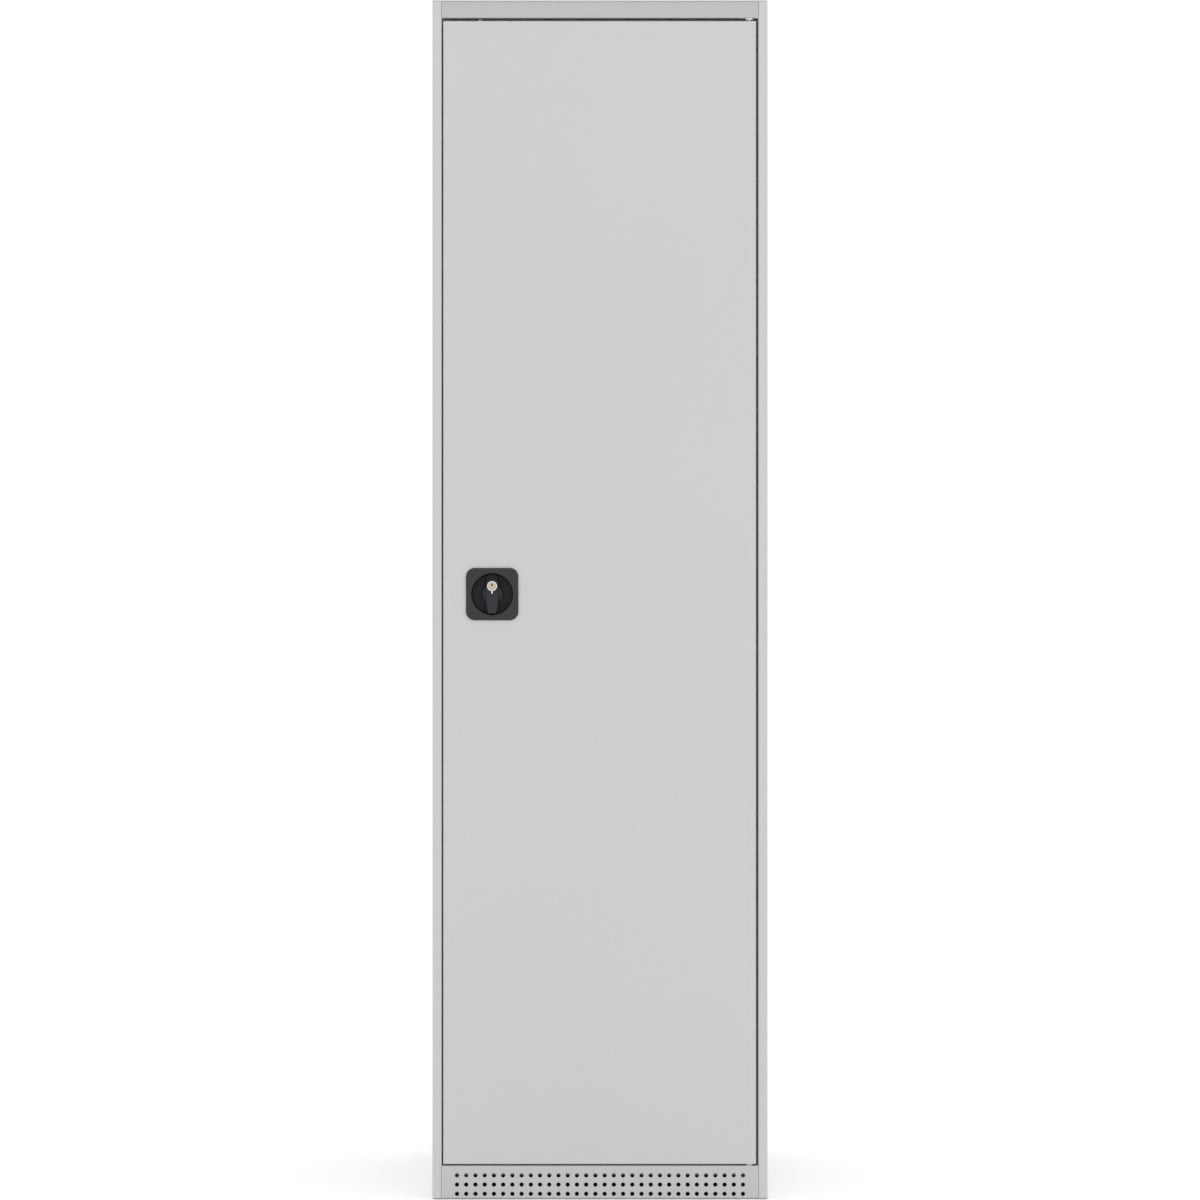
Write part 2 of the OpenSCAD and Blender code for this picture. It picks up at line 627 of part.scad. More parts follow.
module cam_disc() color(BARE_STEEL) at_lock() {
    difference() {
        bar_deep(0, 0, drive_pin_at + 4, cam_at, cam_at + cam_t);
        deep(cam_at - PAST, cam_at + cam_t + PAST) square(spindle_w + 0.06, center = true);
    }
    for (side = [-1, 1])
        bar_deep(side * drive_pin_at * cos(45), side * drive_pin_at * sin(45), drive_pin_r,
            rod_depth - slider_t / 2 - 0.7, cam_at);
}

module latch_tongue() color(BARE_STEEL) at_lock() difference() {
    union() {
        deep(tongue_at, tongue_at + tongue_t)
            polygon([[-9, 11], [9, 11], [9, 8 - tongue_reach], [3, -tongue_reach], [-3, -tongue_reach],
                [-9, 8 - tongue_reach]]);
    }
    deep(tongue_at - PAST, tongue_at + tongue_t + PAST) square(spindle_w + 0.06, center = true);
}

module tongue_screw() color(BARE_STEEL) at_lock() {
    bar_deep(0, 0, 2.5, spindle_back - screw_l, spindle_back);
    difference() {
        bar_deep(0, 0, 7, spindle_back, spindle_back + 3.5);
        translate([0, front_y + spindle_back + 1.5, 0]) rotate([-90, 0, 0]) cylinder(r = 2.9, h = 3, $fn = 6);
    }
}

plug_r = 6.2;
keyway = [2.6, 4.8];
keyway_rise = 2.1;          // of the keyway's middle above the plug's axis
module lock_cylinder() color(BARE_STEEL) at_lock() difference() {
    union() {
        bar_deep(0, cylinder_rise, cylinder_d / 2, bar_front - cylinder_proud, cylinder_back);
        deep(bar_front - 0.2, bar_front + rib_t)
            translate([-rib_w / 2, cylinder_rise - cylinder_d / 2 - rib_drop])
                square([rib_w, cylinder_d / 2 + rib_drop - plug_r]);
    }
    bar_deep(0, cylinder_rise, plug_r + 0.05, bar_front - 2, cylinder_back + PAST);
}

module lock_plug() color(BRASS) at_lock() {
    difference() {
        bar_deep(0, cylinder_rise, plug_r, bar_front - 0.4, cylinder_back);
        deep(bar_front - 2, bar_front + 7)
            translate([0, cylinder_rise + keyway_rise]) square(keyway, center = true);
    }
    bar_deep(0, cylinder_rise, 2.8, cylinder_back, dish_floor - 1);
}
module plug_cam() color(BARE_STEEL) at_lock() difference() {
    bar_deep(0, cylinder_rise, 5.4, bar_back + 0.6, dish_floor - 1);
    bar_deep(0, cylinder_rise, 2.85, bar_back, dish_floor);
    deep(bar_back, dish_floor) translate([3.6, cylinder_rise - 6]) square(12);
}

// ---- Lock rods ----

// Fork that a drive pin lifts: way is 1 for the upper rod, on the left, and -1 for the lower one
fork_gap = 0.75;
slider_far = rod_offset + rod_d / 2 + 2;
slider_near = spindle_w * 0.75 + 1;
slider_low = drive_pin_at * sin(45) + 8;
slider_end = 2;
module slider(way) color(BARE_STEEL) at_lock() mirror([0, 0, way < 0 ? 1 : 0]) mirror([way < 0 ? 1 : 0, 0, 0])
    deep(rod_depth - slider_t / 2, rod_depth + slider_t / 2) difference() {
        translate([-slider_far, -slider_low]) square([slider_far - slider_near, slider_low - slider_end]);
        translate([-drive_pin_at - drive_pin_r - 0.7, -drive_pin_at * sin(45) - drive_pin_r - fork_gap])
            square([drive_pin_at, 2 * (drive_pin_r + fork_gap)]);
    }
module upper_rod_slider() slider(1);
module lower_rod_slider() slider(-1);

tip_seat = 6;
rod_clear = 0.7;            // between a drawn-in rod and the header or the plinth
module upper_rod() color(BARE_STEEL)
    bar_up(lock_x - rod_offset, rod_depth, rod_d / 2, lock_height - slider_end, door_top - tip_seat);
module lower_rod() color(BARE_STEEL)
    bar_up(lock_x + rod_offset, rod_depth, rod_d / 2, door_bottom + tip_seat, lock_height + slider_end);

// Bullet-nosed nylon end, its straight part l long below the nose
module rod_tip(l) color(WHITE_NYLON) {
    nose = 0.8;
    cylinder(r = rod_d / 2, h = l - nose);
    translate([0, 0, l - nose]) cylinder(r1 = rod_d / 2, r2 = rod_d / 2 - nose, h = nose);
}
module upper_rod_tip() translate([lock_x - rod_offset, front_y + rod_depth, door_top - tip_seat])
    rod_tip(tip_seat + gap_top - rod_clear);
module lower_rod_tip() translate([lock_x + rod_offset, front_y + rod_depth, door_bottom + tip_seat])
    mirror([0, 0, 1]) rod_tip(tip_seat + gap_bottom - rod_clear);

// ---- Shelves ----

module shelf(k) color(LIGHT_GREY)
    translate([0, front_y + shelf_front + shelf_d / 2, shelf_bottom(k) + shelf_edge]) rotate([180, 0, 0])
        pan(shelf_w, shelf_d, shelf_edge, shelf_sheet, 14);

// ---- Levelling feet ----

// Foot 1 is front left, 2 front right, 3 rear left and 4 rear right
module levelling_foot(i) {
    side = i % 2 == 1 ? -1 : 1;
    depth = i < 3 ? foot_end : cab_d - foot_end;
    chamfer = 1.5;
    translate([side * (half_w - foot_side), front_y + depth, 0]) {
        color(BLACK_PLASTIC) {
            cylinder(r1 = glide_d / 2 - chamfer, r2 = glide_d / 2, h = chamfer);
            translate([0, 0, chamfer]) cylinder(r = glide_d / 2, h = 4);
            translate([0, 0, chamfer + 4]) cylinder(r1 = glide_d / 2, r2 = foot_nut_w / 2 + 2, h = 2.5);
        }
        color(BARE_STEEL) {
            translate([0, 0, chamfer + 6.5]) cylinder(r = foot_nut_w / sqrt(3), h = 5, $fn = 6);
            difference() {
                cylinder(r = spindle_d / 2, h = plinth_h - 4.5);
                translate([-spindle_d, -0.8, plinth_h - 7]) cube([2 * spindle_d, 1.6, 4]);
            }
        }
    }
}

left_side_panel();
right_side_panel();
back_panel();
roof_panel();
header_rail();
top_stop_rail();
floor_panel();
plinth_panel();
rear_base_rail();
front_left_shelf_rail();
front_right_shelf_rail();
rear_left_shelf_rail();
rear_right_shelf_rail();
shelf_clips();
top_hinge_bracket();
bottom_hinge_bracket();
top_hinge_pin();
bottom_hinge_pin();
top_hinge_washer();
bottom_hinge_washer();
foot_brackets();
foot_nuts();
foot_access_caps();
door_bumpers();
back_panel_rivets();
door_panel();
door_stiffener();
top_hinge_block();
bottom_hinge_block();
top_hinge_bush();
bottom_hinge_bush();
lock_bezel();
lock_case();
lock_case_screws();
rod_guides();
handle_grip();
handle_spindle();
cam_disc();
latch_tongue();
tongue_screw();
lock_cylinder();
lock_plug();
plug_cam();
upper_rod();
upper_rod_slider();
upper_rod_tip();
lower_rod();
lower_rod_slider();
lower_rod_tip();
shelf(1);  // shelf_1
shelf(2);  // shelf_2
shelf(3);  // shelf_3
shelf(4);  // shelf_4
levelling_foot(1);  // levelling_foot_1
levelling_foot(2);  // levelling_foot_2
levelling_foot(3);  // levelling_foot_3
levelling_foot(4);  // levelling_foot_4
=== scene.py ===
# %% [markdown]
# # A steel locker cabinet
#
# This notebook dresses a tall sheet-steel cabinet: a folded carcass, one pivot-hung door, a recessed
# turn handle with a key cylinder, lock rods, shelves and levelling feet. Its nodes say where every
# piece sits, so each size below is read from it. Pieces that show are rebuilt as smooth surfaces
# with numpy; small hardware keeps its engineering mesh and gets a softened edge and a real finish.

# %% Load the frame
import json
import math

import bmesh
import bpy
import numpy as np
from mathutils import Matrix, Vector
from mathutils.geometry import tessellate_polygon


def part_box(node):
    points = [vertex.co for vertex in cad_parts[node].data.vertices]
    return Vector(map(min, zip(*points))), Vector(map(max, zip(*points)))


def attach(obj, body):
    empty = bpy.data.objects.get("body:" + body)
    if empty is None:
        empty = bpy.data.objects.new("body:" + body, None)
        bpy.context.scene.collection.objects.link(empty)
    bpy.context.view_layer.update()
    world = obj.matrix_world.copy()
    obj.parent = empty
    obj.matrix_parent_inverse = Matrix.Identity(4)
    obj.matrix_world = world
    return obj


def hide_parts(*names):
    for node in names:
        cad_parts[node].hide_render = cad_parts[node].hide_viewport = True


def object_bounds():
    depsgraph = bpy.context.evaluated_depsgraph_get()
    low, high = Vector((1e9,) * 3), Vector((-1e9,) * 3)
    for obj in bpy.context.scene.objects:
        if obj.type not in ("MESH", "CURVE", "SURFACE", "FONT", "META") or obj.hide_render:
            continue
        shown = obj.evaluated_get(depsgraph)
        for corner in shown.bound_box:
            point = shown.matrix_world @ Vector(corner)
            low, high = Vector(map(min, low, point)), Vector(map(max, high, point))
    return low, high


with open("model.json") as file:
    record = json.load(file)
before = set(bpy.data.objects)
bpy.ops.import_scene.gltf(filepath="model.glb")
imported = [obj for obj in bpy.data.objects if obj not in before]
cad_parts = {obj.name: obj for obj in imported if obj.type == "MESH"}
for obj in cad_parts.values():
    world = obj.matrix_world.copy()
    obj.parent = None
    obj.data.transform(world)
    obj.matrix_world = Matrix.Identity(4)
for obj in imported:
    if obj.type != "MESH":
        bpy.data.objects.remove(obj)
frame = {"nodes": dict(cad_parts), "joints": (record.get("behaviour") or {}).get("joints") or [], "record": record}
NODES = frame["nodes"]
MM = 0.001
cad_box = [list(corner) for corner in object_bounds()]
print("cabinet", [round((b - a) / MM) for a, b in zip(*cad_box)], "mm in", len(NODES), "nodes")

# %% [markdown]
# ## Sizes from the frame
#
# A fitter would measure the real cabinet with a rule before ordering trim for it. Here the boxes of
# the nodes are the rule: the door gives the front plane, the header gives the width of the front
# faces, and the handle's joint gives the axis that everything in the lock is turned about.

# %% Measure the cabinet
door_low, door_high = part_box("door_panel")
side_low, side_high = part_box("left_side_panel")
header_low, header_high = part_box("header_rail")
plinth_low, plinth_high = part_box("plinth_panel")
FRONT = door_low.y
SHEET = 1.2 * MM
DOOR_SHEET = 1.0 * MM
FOLD = 0.8 * MM
flange = header_low.x - side_low.x
stop_depth = header_high.y - FRONT
handle_axis = Vector(next(j for j in frame["joints"] if j["name"] == "handle_turn")["pos_m"])
hinge_axis = Vector(next(j for j in frame["joints"] if j["name"] == "door_swing")["pos_m"])
print("flange %.1f mm, stop %.1f mm deep" % (flange / MM, stop_depth / MM))
print("handle axis", [round(v / MM, 1) for v in handle_axis])

# %% [markdown]
# ## Surfaces as grids
#
# Sheet metal, turned metal and mouldings are all surfaces with two directions: along the profile and
# along the path that carries it. So one small class collects grids of points, flat fills with holes
# and the faces between them. When it makes the piece it merges shared edges, points every face
# outwards and marks only the real corners as sharp, so that wide faces stay flat and folds shade
# round.

# %% A shell that collects grids and fills
class Shell:
    """One piece in the making: whole arrays of points, and faces that number them."""

    def __init__(self):
        self.points, self.faces, self.count = [], [], 0

    def add(self, points, faces):
        """Appends points, and faces that count from the first of them."""
        points = np.asarray(points, float).reshape(-1, 3)
        self.faces += [tuple(int(i) + self.count for i in face) for face in faces]
        self.points.append(points)
        self.count += len(points)

    def grid(self, points, wrap_rows=False, wrap_cols=False, keep=None):
        """Quads between neighbours of a rows by columns array of points; keep picks rows of quads."""
        rows, cols = points.shape[:2]
        r = np.arange(rows if wrap_rows else rows - 1)
        r = (r if keep is None else r[keep])[:, None]
        c = np.arange(cols if wrap_cols else cols - 1)[None, :]
        r1, c1 = (r + 1) % rows, (c + 1) % cols
        quads = np.stack([r * cols + c, r * cols + c1, r1 * cols + c1, r1 * cols + c], -1)
        self.add(points, quads.reshape(-1, 4))

    def fill(self, *loops):
        """A flat face bounded by the first loop, with every further loop left open as a hole."""
        flat = [np.asarray(loop, float) for loop in loops]
        spread = np.ptp(flat[0], axis=0)
        u, v = np.sort(np.argsort(spread)[1:])
        triangles = tessellate_polygon([[(p[u], p[v], 0) for p in loop] for loop in flat])
        self.add(np.concatenate(flat), triangles)

    def piece(self, name, sharp=40, outward=True):
        """Makes the object, its place in its mesh, with its edges merged and its normals outwards."""
        mesh = bpy.data.meshes.new(name)
        mesh.from_pydata(np.concatenate(self.points).tolist(), [], self.faces)
        work = bmesh.new()
        work.from_mesh(mesh)
        bmesh.ops.remove_doubles(work, verts=work.verts, dist=0.004 * MM)
        bmesh.ops.dissolve_degenerate(work, edges=work.edges, dist=0.002 * MM)
        if outward:
            bmesh.ops.recalc_face_normals(work, faces=work.faces)
        work.to_mesh(mesh)
        work.free()
        mesh.shade_smooth()
        mesh.set_sharp_from_angle(angle=math.radians(sharp))
        made = bpy.data.objects.new(name, mesh)
        bpy.context.scene.collection.objects.link(made)
        flatten = made.modifiers.new("Flat faces stay flat", "WEIGHTED_NORMAL")
        flatten.keep_sharp = True
        return made


def dress(made, body, finish, *nodes):
    """Puts a finished piece on its body, gives it its finish and lets it stand for CAD nodes."""
    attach(made, body)
    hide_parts(*nodes)
    made.data.materials.append(finish.material)
    print("%-22s %6d faces" % (made.name, len(made.data.polygons)))
    return made


print("shell ready")

# %% [markdown]
# ## Finishes from a few noises
#
# A finish is a shader whose colour, gloss and relief vary at the scale of the real process: the
# orange peel of baked powder, the spark texture of a mould, the cloudiness of zinc. Python
# expressions are the easiest way to read such maths, so one class wraps a socket and adds a Math
# node for each operator. What never varies is written straight on the shader's own sockets.

# %% Shader maths as expressions
class Value:
    """A number that varies over the surface; calculating with it adds Math nodes."""

    def __init__(self, finish, socket):
        self.finish, self.socket = finish, socket

    def math(self, operation, a, b):
        return self.finish.node("ShaderNodeMath", {"operation": operation}, {0: a, 1: b})

    def __add__(self, other):
        return self.math("ADD", self, other)

    def __mul__(self, other):
        return self.math("MULTIPLY", self, other)

    __radd__, __rmul__ = __add__, __mul__


class Finish:
    """A material with one Principled shader, and the record's slot that it stands for."""

    def __init__(self, name, slot, colour, roughness, metallic=0.0, **constants):
        self.slot = slot
        self.material = bpy.data.materials.new(name)
        self.material.use_nodes = True
        self.tree = self.material.node_tree
        self.shader = self.tree.nodes["Principled BSDF"]
        self.colour = colour
        self.put(self.shader.inputs["Base Color"], (*colour, 1))
        self.put(self.shader.inputs["Roughness"], roughness)
        self.put(self.shader.inputs["Metallic"], metallic)
        for socket, constant in constants.items():
            self.put(self.shader.inputs[socket.replace("_", " ")], constant)

    def put(self, socket, value):
        if isinstance(value, Value):
            self.tree.links.new(value.socket, socket)
        else:
            socket.default_value = value

    def node(self, kind, settings=None, inputs=None, output=0):
        """Adds a node: first its settings, then the values or links of its sockets."""
        new = self.tree.nodes.new(kind)
        for key, setting in (settings or {}).items():
            setattr(new, key, setting)
        for key, value in (inputs or {}).items():
            self.put(new.inputs[key], value)
        return Value(self, new.outputs[output])

    def place(self):
        """Object coordinates: metres in the cabinet's own frame."""
        return self.node("ShaderNodeTexCoord", output="Object")

    def noise(self, size, detail=2.0, rough=0.5, stretch=(1, 1, 1)):
        """Soft noise whose bumps are about size metres across, stretched along an axis below 1."""
        at = self.node("ShaderNodeMapping", inputs={"Vector": self.place(), "Scale": stretch})
        inputs = {"Vector": at, "Scale": 1 / size, "Detail": detail, "Roughness": rough}
        return self.node("ShaderNodeTexNoise", inputs=inputs)

    def fade(self, axis, start, end):
        """Rises from 0 to 1 between two places along the x, y or z axis, and is flat beyond them."""
        pick = {"inputs": {"Vector": self.place()}, "output": "XYZ".index(axis)}
        along = self.node("ShaderNodeSeparateXYZ", **pick)
        inputs = {"Value": along, "From Min": start, "From Max": end}
        return self.node("ShaderNodeMapRange", inputs=inputs)

    def shade(self, amount, by):
        """Base colour that a number from 0 to 1 darkens and lightens by up to that share."""
        low = (*(max(c * (1 - amount), 0) for c in self.colour), 1)
        high = (*(min(c * (1 + amount), 1) for c in self.colour), 1)
        mixed = self.node("ShaderNodeMix", {"data_type": "RGBA"}, {"Factor": by, 6: low, 7: high}, 2)
        self.put(self.shader.inputs["Base Color"], mixed)

    def gloss(self, value):
        self.put(self.shader.inputs["Roughness"], value)

    def relief(self, height, depth):
        """Bumps of that depth in metres, from a height between 0 and 1."""
        inputs = {"Height": height, "Distance": depth, "Strength": 1.0}
        self.put(self.shader.inputs["Normal"], self.node("ShaderNodeBump", inputs=inputs))


print("finishes ready")

# %% [markdown]
# ## Powder coat
#
# The steel is sprayed with dry powder and baked. The melt flows almost flat and leaves a fine
# orange peel about two millimetres across, with a still finer grain in it. Two noises make the
# relief; a very wide one lets the gloss and the shade drift a little, as they do over a long panel.
# The door is a shade lighter than the body, and the header and the plinth are darker. The plinth
# stands in more shade than the header, so its own coat is a little lighter to make up for it.

# %% Light grey powder coat
def powder_coat(name, slot, colour, roughness):
    coat = Finish(name, slot, colour, roughness, Specular_IOR_Level=0.42)
    drift = coat.noise(0.35, 1.0)
    peel = coat.noise(2.2 * MM, 1.5)
    grain = coat.noise(0.7 * MM, 1.0)
    coat.shade(0.012, drift)
    coat.gloss(roughness - 0.04 + 0.05 * drift + 0.05 * grain)
    coat.relief(0.75 * peel + 0.25 * grain, 0.05 * MM)
    return coat


body_coat = powder_coat("body_powder_coat", "body_paint", (0.530, 0.546, 0.527), 0.46)
door_coat = powder_coat("door_powder_coat", "door_paint", (0.536, 0.551, 0.532), 0.46)
trim_coat = powder_coat("trim_powder_coat", "trim_paint", (0.448, 0.464, 0.447), 0.46)
plinth_coat = powder_coat("plinth_powder_coat", "trim_paint", (0.486, 0.503, 0.485), 0.46)
print("powder coats for", body_coat.slot, door_coat.slot, trim_coat.slot, "and the plinth")

# %% [markdown]
# ## Black mouldings, nylon and rubber
#
# The lock's bezel and grip are moulded in a tool with a spark-eroded skin, so their grain is a dense
# field of tiny pits. The bezel's dish is painted darker than its rim, as painted shade in the
# recess, and the grip's thumb rest is painted darker than its face below, as painted shade on a face
# that tilts up away from the light. Natural nylon is milky and lets a little light in. Rubber is
# dull all over.

# %% Plastics and rubber
black_skin = Finish("spark_textured_black", "black_plastic", (0.020, 0.022, 0.022), 0.50,
                    Specular_IOR_Level=0.22)
pits = black_skin.noise(0.55 * MM, 2.0, 0.6)
patches = black_skin.noise(18 * MM, 1.0)
# Painted shade: the sunk dish is darker than the rim in front of it, and the rim lighter.
rim_over_dish_shade = black_skin.fade("Y", FRONT + 5 * MM, FRONT - 3 * MM)
black_skin.shade(0.60, 0.92 * rim_over_dish_shade + 0.08 * patches)
black_skin.gloss(0.43 + 0.10 * pits + 0.06 * patches)
black_skin.relief(pits, 0.05 * MM)

grip_skin = Finish("grip_black_shaded_thumb_rest", "black_plastic", (0.0150, 0.0160, 0.0185), 0.42,
                   Specular_IOR_Level=0.22)
fine_pits = grip_skin.noise(0.45 * MM, 2.0, 0.6)
polish = grip_skin.noise(9 * MM, 2.0)
# Painted shade: the thumb rest above the cylinder is darker than the grip's face below it.
below_thumb = grip_skin.fade("Z", handle_axis.z + 24 * MM, handle_axis.z + 15 * MM)
grip_skin.shade(0.75, 0.92 * below_thumb + 0.08 * polish)
grip_skin.gloss(0.34 + 0.08 * fine_pits + 0.10 * polish)
grip_skin.relief(fine_pits, 0.035 * MM)

nylon = Finish("natural_nylon", "white_nylon", (0.84, 0.84, 0.80), 0.42,
               Subsurface_Weight=0.12, Subsurface_Scale=1.5 * MM)
milk = nylon.noise(3 * MM, 2.0)
nylon.shade(0.03, milk)
nylon.gloss(0.38 + 0.08 * milk)

enamel = Finish("white_enamel", "white_nylon", (0.86, 0.86, 0.85), 0.35)
enamel.shade(0.03, enamel.noise(0.8 * MM, 2.0))

rubber = Finish("soft_rubber", "black_rubber", (0.022, 0.022, 0.023), 0.85)
bloom = rubber.noise(1.2 * MM, 3.0)
rubber.shade(0.25, bloom)
rubber.gloss(0.78 + 0.12 * bloom)
rubber.relief(bloom, 0.04 * MM)

glide_plastic = Finish("glide_polyamide", "foot_plastic", (0.030, 0.030, 0.032), 0.55)
flow = glide_plastic.noise(1.5 * MM, 3.0)
glide_plastic.shade(0.2, flow)
glide_plastic.gloss(0.48 + 0.12 * flow)
glide_plastic.relief(flow, 0.03 * MM)
print("plastics ready")

# %% [markdown]
# ## Plated and turned metal
#
# Bright zinc has soft clouds of a bluer and a yellower grey. The cylinder is polished and plated,
# with hairline wiping marks. The plug is satin nickel over brass, turned on a lathe, so its face
# keeps rings about the cylinder's axis: a distance from that axis, sent through a sine.

# %% Zinc, chrome and nickel
zinc = Finish("bright_zinc", "zinc_steel", (0.56, 0.58, 0.60), 0.34, 1.0)
clouds = zinc.noise(12 * MM, 3.0, 0.6)
hair = zinc.noise(1.0 * MM, 2.0, 0.6, (1, 1, 0.08))
zinc.shade(0.14, clouds)
zinc.gloss(0.26 + 0.12 * clouds + 0.08 * hair)
zinc.relief(hair, 0.006 * MM)

chrome = Finish("polished_plate", "chrome_plate", (0.70, 0.70, 0.69), 0.16, 1.0)
wiping = chrome.noise(0.5 * MM, 2.0, 0.6, (1, 1, 0.15))
chrome.gloss(0.12 + 0.12 * wiping)
chrome.shade(0.05, wiping)

plug_low, plug_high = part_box("lock_plug")
plug_axis = (plug_low + plug_high) / 2
nickel = Finish("satin_nickel", "nickel_brass", (0.54, 0.46, 0.34), 0.3, 1.0)
to_axis = {"Location": (-plug_axis.x, 0, -plug_axis.z), "Scale": (1, 0, 1)}
centred = nickel.node("ShaderNodeMapping", inputs={"Vector": nickel.place(), **to_axis})
radius = nickel.node("ShaderNodeVectorMath", {"operation": "LENGTH"}, {0: centred}, "Value")
ring_pitch = 0.35 * MM
rings = nickel.node("ShaderNodeMath", {"operation": "SINE"}, {0: radius * (2 * math.pi / ring_pitch)})
nickel.gloss(0.30 + 0.05 * rings)
nickel.shade(0.06, nickel.noise(2 * MM, 2.0))
nickel.relief(0.5 + 0.5 * rings, 0.008 * MM)
print("metals ready, plug axis", [round(v / MM, 1) for v in plug_axis])

# %% [markdown]
# ## Folded sheet
#
# Every panel starts as flat sheet and goes through a press brake, which leaves an inner radius at
# each fold. So a section is a centre line with its corners turned into arcs, given the sheet's
# thickness to both sides. It could also be a thin box with a bevel, but then the lips and stops
# behind the edge, which show through the gaps, would be missing.

# %% The section of a folded sheet
def bent(corners, radius, steps=8):
    """Points and left-hand normals along a polyline whose corners are arcs of that radius.

    An arc begins radius * tan(half the turn) before its corner, and its points are the arc's centre
    plus the radius times the normal at angles spaced evenly through the turn."""
    corners = np.asarray(corners, float)
    runs = np.diff(corners, axis=0)
    way = np.arctan2(runs[:, 1], runs[:, 0])
    turn = (np.diff(way) + np.pi) % (2 * np.pi) - np.pi
    points, angles = [corners[:1]], [way[:1]]
    for corner, start, angle in zip(corners[1:-1], way, turn):
        begin = corner - radius * np.tan(abs(angle) / 2) * np.array([np.cos(start), np.sin(start)])
        centre = begin + np.sign(angle) * radius * np.array([-np.sin(start), np.cos(start)])
        a = start + angle * np.linspace(0, 1, steps + 1)
        points.append(centre - np.sign(angle) * radius * np.stack([-np.sin(a), np.cos(a)], 1))
        angles.append(a)
    points, angles = np.concatenate(points + [corners[-1:]]), np.concatenate(angles + [way[-1:]])
    return points, np.stack([-np.sin(angles), np.cos(angles)], 1)


def cut_edge(point, normal, half, steps=5):
    """The rounded cut edge at a sheet's end: half a turn from +normal to -normal, ends left out."""
    a = np.linspace(np.pi / 2, -np.pi / 2, steps + 2)[1:-1, None]
    along = np.array([normal[1], -normal[0]])
    return point - 0.6 * half * along + half * (0.6 * np.cos(a) * along + np.sin(a) * normal)


def section(corners, sheet, fold=FOLD):
    """Closed outline of a folded sheet: left face, rounded end, right face, rounded end."""
    line, normal = bent(corners, fold + sheet / 2)
    half = sheet / 2
    far = cut_edge(line[-1], normal[-1], half)
    near = cut_edge(line[0], -normal[0], half)
    return np.concatenate([line + half * normal, far, (line - half * normal)[::-1], near])


def stretch(shell, stations, axis, open_longer=None):
    """Carries a closed outline straight along an axis, through (place, outline) stations, and closes
    both ends.

    An outline's two numbers are the other two coordinates in order. Two stations at one place make a
    step. Quads on runs longer than open_longer are left out, to be filled with holes."""
    outlines = np.stack([outline for _, outline in stations], 1)
    points = np.zeros(outlines.shape[:2] + (3,))
    points[..., [i for i in range(3) if i != axis]] = outlines
    points[..., axis] = [place for place, _ in stations]
    run = np.linalg.norm(np.roll(outlines[:, 0], -1, 0) - outlines[:, 0], axis=1)
    keep = None if open_longer is None else np.flatnonzero(run < open_longer)
    shell.grid(points, wrap_rows=True, keep=keep)
    for end in (points[:, 0], points[:, -1]):
        apart = np.linalg.norm(np.roll(end, -1, 0) - end, axis=1) > 0.001 * MM
        shell.fill(end[apart])


print("section of a fold:", len(section([(0, 0), (1, 0), (1, 1)], 0.1, 0.1)), "points")

# %% [markdown]
# ## Side panels
#
# Each side is one blank, folded from the outside in: rear flange, wall, front face, jamb and door
# stop. The section is carried straight up. The right side is the mirror image with a shorter stop,
# so that the hinge edge of the door can swing past it.

# %% Left and right sides
def side_section(reach, rear):
    """The side's fold line in distance from its outer face and depth behind the front plane."""
    depth, h = side_high.y - FRONT, SHEET / 2
    return [(reach, stop_depth + h), (flange - h, stop_depth + h), (flange - h, h), (h, h),
            (h, depth - h), (rear, depth - h)]


rail_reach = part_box("front_left_shelf_rail")[1].x - side_low.x
for name, hand in (("left_side_panel", -1), ("right_side_panel", 1)):
    low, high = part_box(name)
    outer = section(side_section(high.x - low.x, rail_reach + 4 * MM), SHEET)
    edge = low.x if hand < 0 else high.x
    outer = np.stack([edge - hand * outer[:, 0], FRONT + outer[:, 1]], 1)
    shell = Shell()
    stretch(shell, [(low.z, outer), (high.z, outer)], 2)
    dress(shell.piece(name + "_skin"), "carcass", body_coat, name)

# %% [markdown]
# ## Header, plinth and back
#
# The header and the plinth are channels that close the front frame between the sides. The plinth is
# punched with three rows of round holes for air, and the flat back has the same rows near its top.
# A hole could be cut with a boolean, but a triangulated fill that leaves circles open gives clean
# walls, so the flat run of the channel is left out and filled again with the holes in it. The lips
# that face the door stop at the hinge brackets.

# %% Header, perforated plinth and back
def circle(x, z, radius, count=24):
    a = np.linspace(0, 2 * np.pi, count, endpoint=False)
    return np.stack([x + radius * np.cos(a), z + radius * np.sin(a)], 1)


def upright_face(loop, y):
    """Gives a loop of x and z its depth."""
    return np.insert(np.asarray(loop, float), 1, y, axis=1)


def punched(shell, corners, circles, fronts):
    """Fills a rectangle at both faces of an upright sheet, with walled holes at the circles."""
    for y in fronts:
        shell.fill(upright_face(corners, y), *[upright_face(c, y) for c in circles])
    for c in circles:
        wall = np.stack([upright_face(c, y) for y in fronts])
        shell.grid(wall, wrap_cols=True)


def notched(outline, bracket, near_lip, low, high):
    """Stations for a channel whose lip stops at a hinge bracket: past it, the lip's points are drawn
    back to the sheet behind the front face and spread evenly there, on a line bowed by a hair."""
    outline = np.roll(outline, len(outline) // 2, axis=0)
    moved = np.flatnonzero(near_lip(outline[:, 1]) & (outline[:, 0] > FRONT + SHEET + 0.01 * MM))
    share = np.linspace(0, 1, len(moved) + 2)[1:-1]
    start, end = outline[moved[0] - 1, 1], outline[moved[-1] + 1, 1]
    cut = outline.copy()
    cut[moved, 0] = FRONT + SHEET + 0.04 * MM * share * (1 - share)
    cut[moved, 1] = start + (end - start) * share
    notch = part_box(bracket)[0].x - 0.3 * MM
    return [(low, outline), (notch, outline), (notch, cut), (high, cut)]


